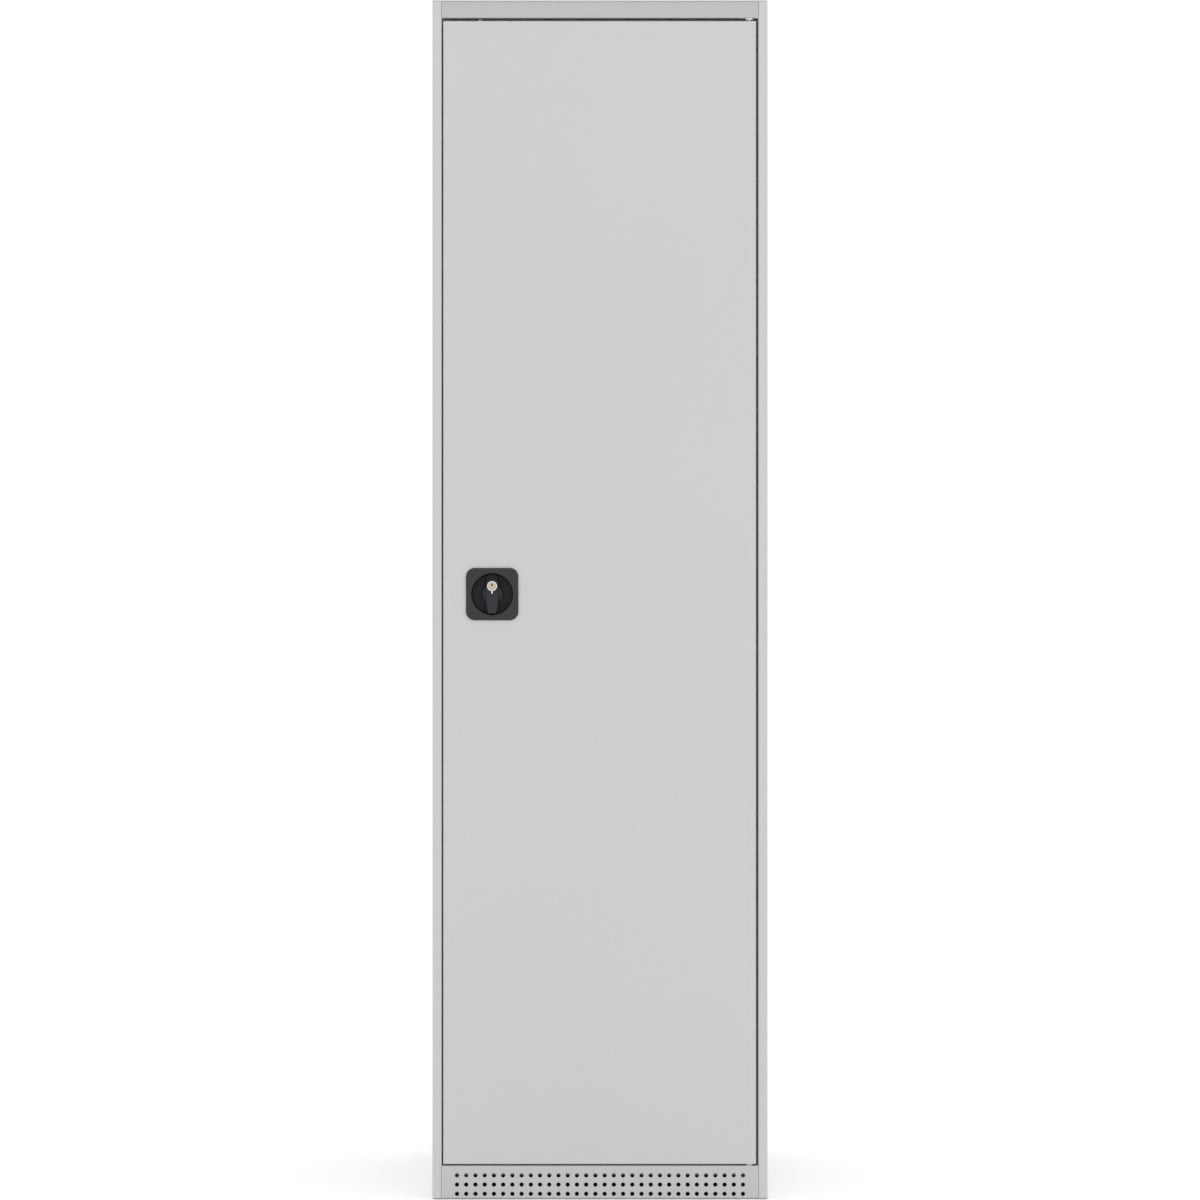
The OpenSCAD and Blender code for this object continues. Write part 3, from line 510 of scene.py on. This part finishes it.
h = SHEET / 2
lip = plinth_high.y - FRONT
top, bottom = plinth_high.z, plinth_low.z
channel = section([(lip, top - h), (h, top - h), (h, bottom + h), (lip, bottom + h)], SHEET)
channel[:, 0] += FRONT
pitch, columns, rows = 15 * MM, 32, 3
air_hole_r, lowest_row, longest_fold_run = 3.5 * MM, 7.4 * MM, 20 * MM
x_at = (np.arange(columns) - (columns - 1) / 2) * pitch
z_at = bottom + lowest_row + np.arange(rows) * pitch
holes = [circle(x, z, air_hole_r) for z in z_at for x in x_at]
tangent = FOLD + SHEET
plinth = Shell()
stations = notched(channel, "bottom_hinge_bracket", lambda z: z > top - tangent, plinth_low.x,
                   plinth_high.x)
stretch(plinth, stations, 0, open_longer=longest_fold_run)
ends = [stations[0][0], stations[1][0], stations[-1][0]]
flat = [(x, bottom + tangent) for x in ends] + [(x, top - tangent) for x in ends[::-1]]
punched(plinth, flat, holes, (FRONT, FRONT + SHEET))
dress(plinth.piece("plinth_skin"), "carcass", plinth_coat, "plinth_panel")
print(len(holes), "holes, first at z %.1f mm" % (z_at[0] / MM))

back_low, back_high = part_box("back_panel")
vent_drop, wall_hole_r, wall_hole_x, wall_hole_z = 61 * MM, 4 * MM, 200 * MM, 1800 * MM
vent_z = header_low.z - vent_drop + np.arange(rows) * pitch
vents = [circle(x, z, air_hole_r) for z in vent_z for x in x_at]
wall_holes = [circle(x, wall_hole_z, wall_hole_r) for x in (-wall_hole_x, wall_hole_x)]
back_corners = [(back_low.x, back_low.z), (back_high.x, back_low.z), (back_high.x, back_high.z),
                (back_low.x, back_high.z)]
back_sheet = Shell()
punched(back_sheet, back_corners, vents + wall_holes, (back_low.y, back_high.y))
rims = np.stack([upright_face(back_corners, y) for y in (back_low.y, back_high.y)])
back_sheet.grid(rims, wrap_cols=True)
dress(back_sheet.piece("back_sheet"), "carcass", body_coat, "back_panel")

header = Shell()
low_z, high_z = header_low.z, header_high.z
header_line = [(lip, low_z + h), (h, low_z + h), (h, high_z - h), (stop_depth, high_z - h)]
header_line = section(header_line, SHEET)
header_line[:, 0] += FRONT
stretch(header, notched(header_line, "top_hinge_bracket", lambda z: z < low_z + tangent,
                        header_low.x, header_high.x), 0)
dress(header.piece("header_skin"), "carcass", trim_coat, "header_rail")

# %% [markdown]
# ## Pans: the door, the roof and the shelves
#
# A pan is a sheet with all four edges folded the same way. Its profile, from the face round the fold
# to the lip, is carried round a rectangle: each point of the profile sits a certain inset from the
# edge, and the ring at that inset has its corners rounded a little less. Both faces inside the
# first and last ring are flat fills, and the door's fill leaves a hole for the lock. Where a rod
# passes through the door's edge, that edge's flat quads are filled again with a hole in them.

# %% A pan carried round a rectangle
def ring(half_w, half_h, inset, corner, steps=5):
    """Rings round a rounded rectangle, one row for each inset, all with the same number of points.

    A corner's centre is max(corner, inset) in from both sides, and its radius is corner - inset, or
    nothing where the inset is larger."""
    angle = (np.linspace(0, np.pi / 2, steps) + np.arange(4)[:, None] * np.pi / 2).ravel()
    signs = np.repeat([[1, 1], [-1, 1], [-1, -1], [1, -1]], steps, axis=0)
    centre = np.array([half_w, half_h]) - np.maximum(corner, inset)[:, None]
    radius = np.maximum(corner - inset, 0)[:, None, None]
    return signs * centre[:, None] + radius * np.stack([np.cos(angle), np.sin(angle)], -1)


def pan(name, low, high, depth_axis, sign, sheet, lip, corner=1.2 * MM, hole=None, edge_holes=()):
    """A four-sided pan that fills a box. Its face is at the low end of the depth axis, or at the
    high end where sign is -1. hole is a circle in the face's two coordinates, and edge_holes are
    pairs of an edge, 0 for the high one and 1 for the low one, and a closed loop of points on it."""
    low, high = np.array(low), np.array(high)
    u, v = [i for i in range(3) if i != depth_axis]
    middle, half = (low + high) / 2, (high - low) / 2
    depth, h, face_from = 2 * half[depth_axis], sheet / 2, FOLD + 4 * sheet
    path = [(face_from, h), (h, h), (h, depth - h), (lip, depth - h)]
    line, normal = bent(path, min(FOLD + h, (depth - sheet) / 2 * 0.999))
    end = cut_edge(line[-1], normal[-1], h)
    profile = np.concatenate([line + h * normal, end, (line - h * normal)[::-1]])
    flat = ring(half[u], half[v], profile[:, 0], corner)
    points = np.zeros(flat.shape[:2] + (3,))
    points[..., u], points[..., v] = middle[u] + flat[..., 0], middle[v] + flat[..., 1]
    face = low[depth_axis] if sign > 0 else high[depth_axis]
    points[..., depth_axis] = (face + sign * profile[:, 1])[:, None]
    shell = Shell()
    shell.grid(points, wrap_cols=True)
    steps, columns = flat.shape[1] // 4, flat.shape[1]
    flange = len(line) // 2 - 1
    flange_rows = (flange, len(profile) - 2 - flange)
    for edge, loop in edge_holes:
        column = steps - 1 + 2 * steps * edge
        rims = []
        for row in flange_rows:
            quad = shell.faces[row * columns + column]
            shell.faces[row * columns + column] = ()
            rims.append(np.array(loop, float))
            rims[-1][:, v] = points[row, column, v]
            shell.fill(points.reshape(-1, 3)[list(quad)], rims[-1])
        shell.grid(np.stack(rims), wrap_cols=True)
    shell.faces = [face for face in shell.faces if face]
    corners = np.arange(0, columns, steps)
    rims = []
    for row in (0, -1):
        loops = [points[row, corners]]
        if hole is not None:
            rim = np.full((len(hole), 3), points[row, 0, depth_axis])
            rim[:, u], rim[:, v] = hole[:, 0], hole[:, 1]
            loops.append(rim)
            rims.append(rim)
        shell.fill(*loops)
    if rims:
        shell.grid(np.stack(rims), wrap_cols=True)
    return shell.piece(name)


bezel_low, bezel_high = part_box("lock_bezel")
lock_hole_r, rod_hole_r = 36.3 * MM, 3.9 * MM
door_lip, roof_lip, shelf_lip = 15 * MM, 12 * MM, 14 * MM
lock_hole = circle(handle_axis.x, handle_axis.z, lock_hole_r, 96)
rod_holes = []
for edge, name in enumerate(("upper_rod", "lower_rod")):
    middle = sum(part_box(name), Vector()) / 2
    loop = np.insert(circle(middle.x, middle.y, rod_hole_r), 2, 0, axis=1)
    rod_holes.append((edge, loop))
door = pan("door_skin", door_low, door_high, 1, 1, DOOR_SHEET, door_lip, hole=lock_hole,
           edge_holes=rod_holes)
dress(door, "door", door_coat, "door_panel")
roof_low, roof_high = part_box("roof_panel")
roof = pan("roof_skin", roof_low, roof_high, 2, -1, SHEET, roof_lip, corner=2.5 * MM)
dress(roof, "carcass", body_coat, "roof_panel")
for name in sorted(n for n in NODES if n.startswith("shelf_") and n[6:].isdigit()):
    low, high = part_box(name)
    made = pan(name + "_tray", low, high, 2, -1, DOOR_SHEET, shelf_lip, corner=3 * MM)
    dress(made, name, body_coat, name)

# %% [markdown]
# ## Turned and repeated pieces
#
# Pins, bushes, rods, rivets and feet are all turned: a profile of radius against length, spun about
# an axis. The same function spins them all, and it may change the radius with the angle, which is
# what the threads and hexagons of the feet need further on.

# %% Turning a profile about an axis
def turned(shell, profile, start, axis, count=40, radius_at=None):
    """Spins (length, radius) pairs about an axis through start. radius_at may change the radius
    with the angle and the length, both given as whole arrays."""
    profile = np.asarray(profile, float)
    a = np.linspace(0, 2 * np.pi, count, endpoint=False)
    radius = np.repeat(profile[:, 1:], count, 1)
    if radius_at is not None:
        radius = radius_at(radius, a[None, :], profile[:, :1])
    u, v = [i for i in range(3) if i != axis]
    points = np.zeros(radius.shape + (3,)) + np.array(start)
    points[..., u] += radius * np.cos(a)
    points[..., v] += radius * np.sin(a)
    points[..., axis] += profile[:, :1]
    shell.grid(points, wrap_cols=True)


def soft_end(length, radius, round_off, outward=1, steps=5):
    """A closed end whose edge is rounded off: from the side onto the end face and in to the axis."""
    a = np.linspace(0, np.pi / 2, steps)
    along = length - outward * round_off * (1 - np.sin(a))
    across = radius - round_off * (1 - np.cos(a))
    return [*zip(along, across), (length, 0.0)]


def pin(low, high, radius, round_off):
    """Profile of a plain pin from low to high with both ends rounded off."""
    return soft_end(low, radius, round_off, -1)[::-1] + soft_end(high, radius, round_off)


def tube(low, high, inner, outer, soft):
    """Profile of a washer or bush with its outer edges softened, closed along its bore."""
    return [(low, inner), (low, outer - soft), (low + soft, outer), (high - soft, outer),
            (high, outer - soft), (high, inner), (low, inner)]


start = (hinge_axis.x, hinge_axis.y, 0)
pin_r, bore_r, stub, head = 3 * MM, 3.05 * MM, 1 * MM, 2.5 * MM
for name in ("top_hinge_pin", "bottom_hinge_pin"):
    low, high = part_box(name)
    shell = Shell()
    turned(shell, pin(low.z, high.z, pin_r, 0.5 * MM), start, 2)
    at_top, at_bottom = (high.z - head, high.z - stub), (low.z + stub, low.z + head)
    cap = at_top if name.startswith("top") else at_bottom
    turned(shell, pin(*cap, (high.x - low.x) / 2, 0.6 * MM), start, 2)
    dress(shell.piece(name + "_turned"), "carcass", zinc, name)
for name in ("top_hinge_washer", "bottom_hinge_washer", "top_hinge_bush", "bottom_hinge_bush"):
    low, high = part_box(name)
    shell = Shell()
    sleeve = tube(low.z, high.z, bore_r, (high.x - low.x) / 2, 0.3 * MM)
    turned(shell, sleeve, start, 2, 48)
    dress(shell.piece(name + "_turned"), "door" if "bush" in name else "carcass", nylon, name)
for name in ("upper_rod", "lower_rod"):
    low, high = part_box(name)
    middle = (low + high) / 2
    shell = Shell()
    turned(shell, pin(low.z, high.z, (high.x - low.x) / 2, 0.4 * MM), (middle.x, middle.y, 0), 2, 32)
    dress(shell.piece(name + "_bar"), name, zinc, name)
    low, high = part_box(name + "_tip")
    radius, nose = (high.x - low.x) / 2, 0.8 * MM
    tip = [(0, 0.0), (0, radius), *soft_end(high.z - low.z, radius, nose)]
    tip = [(low.z + d, r) if name == "upper_rod" else (high.z - d, r) for d, r in tip]
    shell = Shell()
    turned(shell, tip, (middle.x, middle.y, 0), 2, 32)
    dress(shell.piece(name + "_nose"), name, nylon, name + "_tip")

# %% [markdown]
# ## Bumpers, rivets and feet
#
# Rubber bumpers are low domes pressed onto the door stop. The back is held with blind rivets, whose
# heads are domes with the broken mandrel in the middle. A levelling foot is a polyamide glide with
# a hexagon to turn it by and a threaded spindle: the thread is the turned surface with its radius
# cut back by a wave that climbs one pitch a turn.

# %% Small repeated fittings
low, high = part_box("door_bumpers")
radius, above_lock, base_h = (high.x - low.x) / 2, 220 * MM, 1 * MM
heights = [low.z + radius, handle_axis.z + above_lock, high.z - radius]
shell = Shell()
a = np.linspace(0, np.pi / 2, 7)
base_y = high.y - base_h
crown = zip(base_y - (base_y - low.y) * np.sin(a[1:]), radius * (0.55 + 0.45 * np.cos(a[1:])))
dome = [(high.y, 0.0), (high.y, radius), (base_y, radius), *crown, (low.y, 0.0)]
for z in heights:
    turned(shell, dome, ((low.x + high.x) / 2, 0, z), 1)
dress(shell.piece("door_bumper_domes"), "carcass", rubber, "door_bumpers")

low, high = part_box("back_panel_rivets")
count, head, shank = 8, 3.2 * MM, 2 * MM
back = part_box("back_panel")[1].y
rise = high.y - back
rivet = [(back - shank, 0.0), (back - shank, head / 2), (back, head / 2), (back, head),
         *zip(back + rise * np.sin(a[1:-1]), head * np.cos(a[1:-1])),
         (high.y - 0.05 * rise, head * 0.3), (high.y - 0.3 * rise, head * 0.28),
         (high.y - 0.3 * rise, 0.0)]
shell = Shell()
for x in (low.x + head, high.x - head):
    for z in np.linspace(low.z + head, high.z - head, count):
        turned(shell, rivet, (x, 0, z), 1, 20)
dress(shell.piece("back_rivet_heads"), "carcass", zinc, "back_panel_rivets")


def thread(pitch, cut):
    """Cuts a radius back by a triangle wave that climbs one pitch a turn."""
    wave = lambda a, z: np.abs(2 * ((z / pitch - a / (2 * np.pi)) % 1) - 1)
    return lambda radius, a, z: np.maximum(radius - cut * wave(a, z), 0)


def hexagon(across):
    """Turns a round radius into a hexagon's: half the width across the flats, over the cosine of the
    angle from the nearest flat, but never more than the round radius."""
    from_flat = lambda a: (a + np.pi / 6) % (np.pi / 3) - np.pi / 6
    return lambda radius, a, z: np.minimum(radius, across / 2 / np.cos(from_flat(a)))


glide_h, spindle_r, plain_end = 8 * MM, 4.9 * MM, 3 * MM
cut = thread(1.5 * MM, 0.8 * MM)
for name in sorted(n for n in NODES if n.startswith("levelling_foot")):
    low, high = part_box(name)
    centre = ((low.x + high.x) / 2, (low.y + high.y) / 2, 0)
    big = (high.x - low.x) / 2
    glide = [(0, 0.0), (0, big - 1.5 * MM), (0.6 * MM, big - 0.6 * MM), (1.5 * MM, big),
             (5 * MM, big), (5.8 * MM, big - 0.8 * MM), (glide_h, 10.5 * MM), (glide_h, 0.0)]
    shell = Shell()
    turned(shell, glide, centre, 2, 56)
    body = "foot_" + name[-1]
    dress(shell.piece(name + "_glide"), body, glide_plastic, name)
    spindle = Shell()
    thread_end = high.z - plain_end
    lengths = np.arange(glide_h, thread_end, 0.25 * MM)
    rod = [(glide_h, 0.0), *((z, spindle_r) for z in lengths),
           *soft_end(high.z, spindle_r - 1 * MM, 0.6 * MM)]
    turned(spindle, rod, centre, 2, 24, lambda r, a, z: np.where(z < thread_end, cut(r, a, z), r))
    nut = pin(glide_h, glide_h + 5 * MM, 9.8 * MM, 0.6 * MM)
    turned(spindle, nut, centre, 2, 48, hexagon(17 * MM))
    dress(spindle.piece(name + "_spindle"), body, zinc, name)

# %% [markdown]
# ## The lock's bezel
#
# The bezel is one moulding: a square plate with round corners, a soft front edge, and a round dish
# sunk into it so that fingers can reach behind the grip. Seen as rings about the handle's axis it is
# a single grid: the outer rings are rounded squares, the inner ones are circles, and each ring has
# its own depth.

# %% Square rim, round dish
def square_ring(half, corner, angles):
    """Distance from the centre to a rounded square's edge at each angle.

    Inside the corner's sector the ray meets the corner's circle, and elsewhere the straight side."""
    fold_angle = np.abs((angles + np.pi / 4) % (np.pi / 2) - np.pi / 4)
    straight = half / np.cos(fold_angle)
    c = half - corner
    along = c * (np.cos(fold_angle) + np.sin(fold_angle))
    curved = along + np.sqrt(np.maximum(along ** 2 - 2 * c ** 2 + corner ** 2, 0))
    return np.where(half * np.tan(fold_angle) > c, curved, straight)


def ringed(shell, rings, centre, count=192):
    """A grid of rings about the y axis through centre, each ring (depth, half or radius, corner):
    a rounded square where the corner is given, a circle where it is None."""
    a = np.linspace(0, 2 * np.pi, count, endpoint=False)
    radius = np.array([np.full(count, r) if c is None else square_ring(r, c, a) for _, r, c in rings])
    depth = np.array([d for d, _, _ in rings])[:, None] + 0 * radius
    points = np.stack([radius * np.cos(a), depth, radius * np.sin(a)], -1)
    shell.grid(points + np.array(centre), wrap_cols=True)


half = (bezel_high.x - bezel_low.x) / 2
proud = FRONT - bezel_low.y
corner, soft = 14 * MM, 1.4 * MM
dish, floor_r, floor_at = 34 * MM, 32.8 * MM, 8 * MM
seat_r, seat_deep, wall = 17.6 * MM, 0.5 * MM, 2 * MM
turn = np.linspace(0, np.pi / 2, 7)
quarter = [(1 - s, 1 - c) for s, c in zip(np.sin(turn), np.cos(turn))]
rings = [(0, half - 0.2 * MM, corner), (-0.2 * MM, half, corner)]
rings += [(-proud + soft * s, half - soft * c, corner - soft * c) for s, c in quarter]
lip_r = 0.6 * MM
rings += [(-proud + lip_r * c, dish + lip_r * s, None) for s, c in quarter]
fillet = 1.2 * MM
rings += [(floor_at - fillet * s, floor_r - fillet * c, None) for s, c in quarter]
rings += [(floor_at, seat_r, None), (floor_at - seat_deep, seat_r - 0.4 * MM, None)]
rings += [(floor_at - seat_deep, 0.0, None)]
shell = Shell()
centre = Vector((handle_axis.x, FRONT, handle_axis.z))
ringed(shell, rings, centre)
cup_r, cup_at = dish + wall, floor_at + wall
rear_rings = [(0, half - 0.2 * MM, corner), (0, cup_r, None), (cup_at, cup_r, None),
              (cup_at, 0.0, None)]
ringed(shell, rear_rings, centre)
dress(shell.piece("lock_bezel_moulding"), "door", black_skin, "lock_bezel")

# %% [markdown]
# ## The grip
#
# The grip is a bar that swells in the middle and tapers to its lower end, standing on a round hub.
# Its outline is a superellipse bent to those widths. Rings of that outline, each a little smaller
# and nearer, give the bevelled sides; above the cylinder the face falls away to make a thumb rest,
# which is simply the deeper of the ring's depth and a sloping plane.

# %% Grip with thumb rest
grip_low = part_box("handle_grip")[0]
grip_face = grip_low.y - FRONT
reach = handle_axis.z - grip_low.z
cylinder_low, cylinder_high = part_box("lock_cylinder")
rise = plug_axis.z - handle_axis.z
slope_from = rise + 8.6 * MM


def grip_ring(depth, inset, count=160, power=9.0):
    """One ring of the grip: a superellipse whose half width is 10.9 mm in the middle, 8.6 mm at the
    top and 7.5 mm at the lower end, and whose depth is never in front of the thumb rest's slope."""
    a = np.linspace(0, 2 * np.pi, count, endpoint=False)
    bend = 2 / power
    across, up = (np.sign(w) * np.abs(w) ** bend for w in (np.cos(a).round(12), np.sin(a).round(12)))
    z = (reach - inset) * up
    half_w = 10.9 * MM - np.where(up > 0, 2.3, 3.4) * MM * up ** 2
    x = (half_w - inset) * across
    plane = grip_face + 0.75 * np.maximum(z - slope_from, 0)
    y = np.maximum(depth, plane + 0.35 * inset)
    return np.stack([x, np.minimum(y, 4 * MM), z], -1)


bevel = np.linspace(0, 1, 5)
grip_rings = [(4 * MM, 0.6 * MM), (3.4 * MM, 0.0), (grip_face + 3.4 * MM, 0.2 * MM)]
grip_rings += [(grip_face + 3.0 * MM - 2.6 * MM * s, 0.3 * MM + 1.2 * MM * s ** 1.3) for s in bevel]
grip_rings += [(grip_face + 0.12 * MM, 1.9 * MM), (grip_face, 2.5 * MM), (grip_face, 6.0 * MM)]
points = np.stack([grip_ring(d, e) for d, e in grip_rings])
flat_to_spine = np.array([0, 1, 1])
points = np.concatenate([points[:1] * flat_to_spine, points, points[-1:] * flat_to_spine])
shell = Shell()
shell.grid(points + np.array(centre), wrap_cols=True)
hub_in_mm = [(0, 0.0), (0, 15.0), (0.3, 15.7), (1.0, 16), (7.6, 16), (7.6, 7), (10.4, 7), (10.4, 0.0)]
turned(shell, np.array(hub_in_mm) * MM, centre, 1, 96)
dress(shell.piece("handle_grip_moulding", sharp=50), "handle", grip_skin, "handle_grip")

# %% [markdown]
# ## Cylinder and plug
#
# The key cylinder sits in the grip with a plated rim. Inside it the plug turns, its face slightly
# sunk, with a keyway cut into it and a black rubber piece a hair inside it as painted shade in the
# keyhole. A white index rib below the cylinder shows which way the handle points.

# %% Cylinder, plug, keyway and index
axis_at = Vector((plug_axis.x, FRONT, plug_axis.z))
face = cylinder_low.y - FRONT
outer, inner = (cylinder_high.x - cylinder_low.x) / 2, 6.25 * MM
rear = face + 11 * MM
rim = [(rear, inner), (face + 0.45 * MM, inner), (face + 0.1 * MM, inner + 0.25 * MM),
       (face, inner + 0.6 * MM), (face, outer - 0.9 * MM), (face + 0.15 * MM, outer - 0.35 * MM),
       (face + 0.6 * MM, outer), (rear, outer), (rear, inner)]
shell = Shell()
turned(shell, rim, axis_at, 1, 96)
dress(shell.piece("lock_cylinder_rim"), "handle", chrome, "lock_cylinder")


def keyway(width, height, rise, steps=6):
    """A slot's outline, rise above the plug's axis: half a circle of its width at each end, moved
    apart by half of what its height has over its width."""
    a = np.linspace(0, np.pi, steps)
    a, shift = np.concatenate([a, a + np.pi]), np.repeat([1, -1], steps) * (height - width) / 2
    return np.stack([width / 2 * np.cos(a), rise + shift + width / 2 * np.sin(a)], 1)


plug_face = plug_low.y - FRONT
slot_deep, keyway_shade_depths = 6 * MM, (0.15 * MM, 1.2 * MM)
slot = keyway(2.6 * MM, 4.8 * MM, 2.1 * MM)
slot_at = [upright_face(slot, plug_face + d) + np.array(axis_at) for d in (0, slot_deep)]
barrel_in_mm = [(0, 5.85), (0.12, 6.1), (0.4, 6.2), (11, 6.2), (11, 0.0)]
disc = circle(axis_at.x, axis_at.z, barrel_in_mm[0][1] * MM, 64)
shell = Shell()
shell.fill(upright_face(disc, FRONT + plug_face), slot_at[0])
shell.grid(np.stack(slot_at), wrap_cols=True)
shell.fill(slot_at[1])
turned(shell, np.array(barrel_in_mm) * MM + np.array([plug_face, 0]), axis_at, 1, 64)
dress(shell.piece("lock_plug_face"), "plug", nickel, "lock_plug")
# The black piece a hair inside the keyway is painted shade: it darkens the keyhole.
shell = Shell()
keyway_shade = [upright_face(slot, plug_face + d) + np.array(axis_at) for d in keyway_shade_depths]
shell.fill(keyway_shade[0])
shell.grid(np.stack(keyway_shade), wrap_cols=True)
shell.fill(keyway_shade[1])
dress(shell.piece("keyway_painted_shade"), "plug", rubber)

rib_top, rib_bottom, rib_half = rise - outer, 0.8 * MM, 1.05 * MM
shell = Shell()
rib_rings = ring(rib_half, (rib_top - rib_bottom) / 2, np.array([0, 0, 0.25, 0.6]) * MM, 0.9 * MM, 6)
rib_depth = grip_face + np.array([1.0, -0.05, -0.3, -0.35]) * MM
rib = np.stack([centre.x + rib_rings[..., 0], centre.y + rib_depth[:, None] + 0 * rib_rings[..., 0],
                centre.z + (rib_top + rib_bottom) / 2 + rib_rings[..., 1]], -1)
shell.grid(rib, wrap_cols=True)
shell.fill(rib[-1])
shell.fill(rib[0])
dress(shell.piece("index_rib"), "handle", enamel)

# %% [markdown]
# ## Hardware that keeps its engineering mesh
#
# Brackets, clips, rails and screws are right as they are, but their edges are razor sharp. A real
# edge is broken, so it catches a line of light. Welding the triangles and bevelling only the real
# corners gives that line and leaves every size alone.

# %% Softened edges for the rest
def soften(node, finish):
    """Gives a node a finish, merges its loose triangles and rounds the corners over 35 degrees."""
    kept = NODES[node]
    kept.data.materials.clear()
    kept.data.materials.append(finish.material)
    kept.data.shade_smooth()
    weld = kept.modifiers.new("Merge triangles", "WELD")
    weld.merge_threshold = 0.003 * MM
    bevel = kept.modifiers.new("Broken edge", "BEVEL")
    bevel.width, bevel.segments, bevel.limit_method = 0.25 * MM, 2, "ANGLE"
    bevel.angle_limit, bevel.harden_normals = math.radians(35), True
    flatten = kept.modifiers.new("Flat faces stay flat", "WEIGHTED_NORMAL")
    flatten.keep_sharp = True


kept_finishes = {"body_paint": body_coat, "door_paint": door_coat, "zinc_steel": zinc,
                 "white_nylon": nylon}
slot_of = {s["node"]: s["material_slot"] for s in frame["record"]["subparts"]}
kept_nodes = [n for n in NODES if not NODES[n].hide_render]
for node in kept_nodes:
    soften(node, kept_finishes[slot_of[node]])
print(len(kept_nodes), "nodes keep their mesh")

# %% [markdown]
# ## Studio
#
# A pale floor, a bright even room and two large soft lights: one in front and above, one from the
# right, which lifts the hinge side a little. The floor glows faintly, which keeps the shadow light.
# A black card lies under the cabinet as painted shade, so that the plinth's holes stay dark. The
# camera stands level at half the cabinet's height with a long lens, so the front shows without any
# tilt.

# %% Floor, light and camera
def soft_light(name, size, power, where, look_at):
    lamp = bpy.data.lights.new(name, "AREA")
    lamp.shape, lamp.size, lamp.size_y, lamp.energy = "RECTANGLE", size[0], size[1], power
    made = bpy.data.objects.new(name, lamp)
    bpy.context.scene.collection.objects.link(made)
    made.location = where
    made.rotation_euler = (Vector(look_at) - Vector(where)).to_track_quat("-Z", "Y").to_euler()


scene = bpy.context.scene
scene.view_settings.view_transform = "Standard"
world = bpy.data.worlds.new("white_room")
scene.world = world
world.use_nodes = True
world.node_tree.nodes["Background"].inputs["Color"].default_value = (1, 1, 1, 1)
world.node_tree.nodes["Background"].inputs["Strength"].default_value = 1.02


def flat_card(name, half_x, half_y, z, finish):
    """A rectangle about the origin that lies level at height z."""
    card = Shell()
    corners = [(-half_x, -half_y, z), (half_x, -half_y, z), (half_x, half_y, z), (-half_x, half_y, z)]
    card.add(corners, [(0, 1, 2, 3)])
    made = card.piece(name, outward=False)
    made.data.materials.append(finish.material)
    return made


pale = Finish("pale_floor", None, (0.97, 0.97, 0.97), 0.7, Emission_Strength=0.10)
ground = flat_card("studio_floor", 60, 60, 0, pale)
# Painted shade: a black card under the cabinet keeps the plinth's holes dark.
black = Finish("painted_shade_black_card", None, (0.02, 0.02, 0.02), 0.9)
painted_shade_black_card = flat_card("painted_shade_card_under_cabinet", 0.26, 0.24, 0.2 * MM, black)

height = cad_box[1][2] - cad_box[0][2]
soft_light("front_softbox", (3.0, 3.0), 8, (0.8, -4.5, 3.4), (0, 0, 1.2))
soft_light("right_softbox", (1.5, 2.5), 8, (3.2, -2.5, 2.0), (0, 0, 1.2))
camera_data = bpy.data.cameras.new("front_camera")
camera = bpy.data.objects.new("front_camera", camera_data)
scene.collection.objects.link(camera)
scene.camera = camera
view_over_height, sensor_mm = 1.000584, 36
distance, view_height = 6.0, height * view_over_height
camera_data.sensor_width = sensor_mm
camera_data.lens = sensor_mm * distance / view_height
camera.location = (0, FRONT - distance, height - view_height / 2)
camera.rotation_euler = (math.pi / 2, 0, 0)
print("camera lens %.0f mm at %.1f m" % (camera_data.lens, distance))
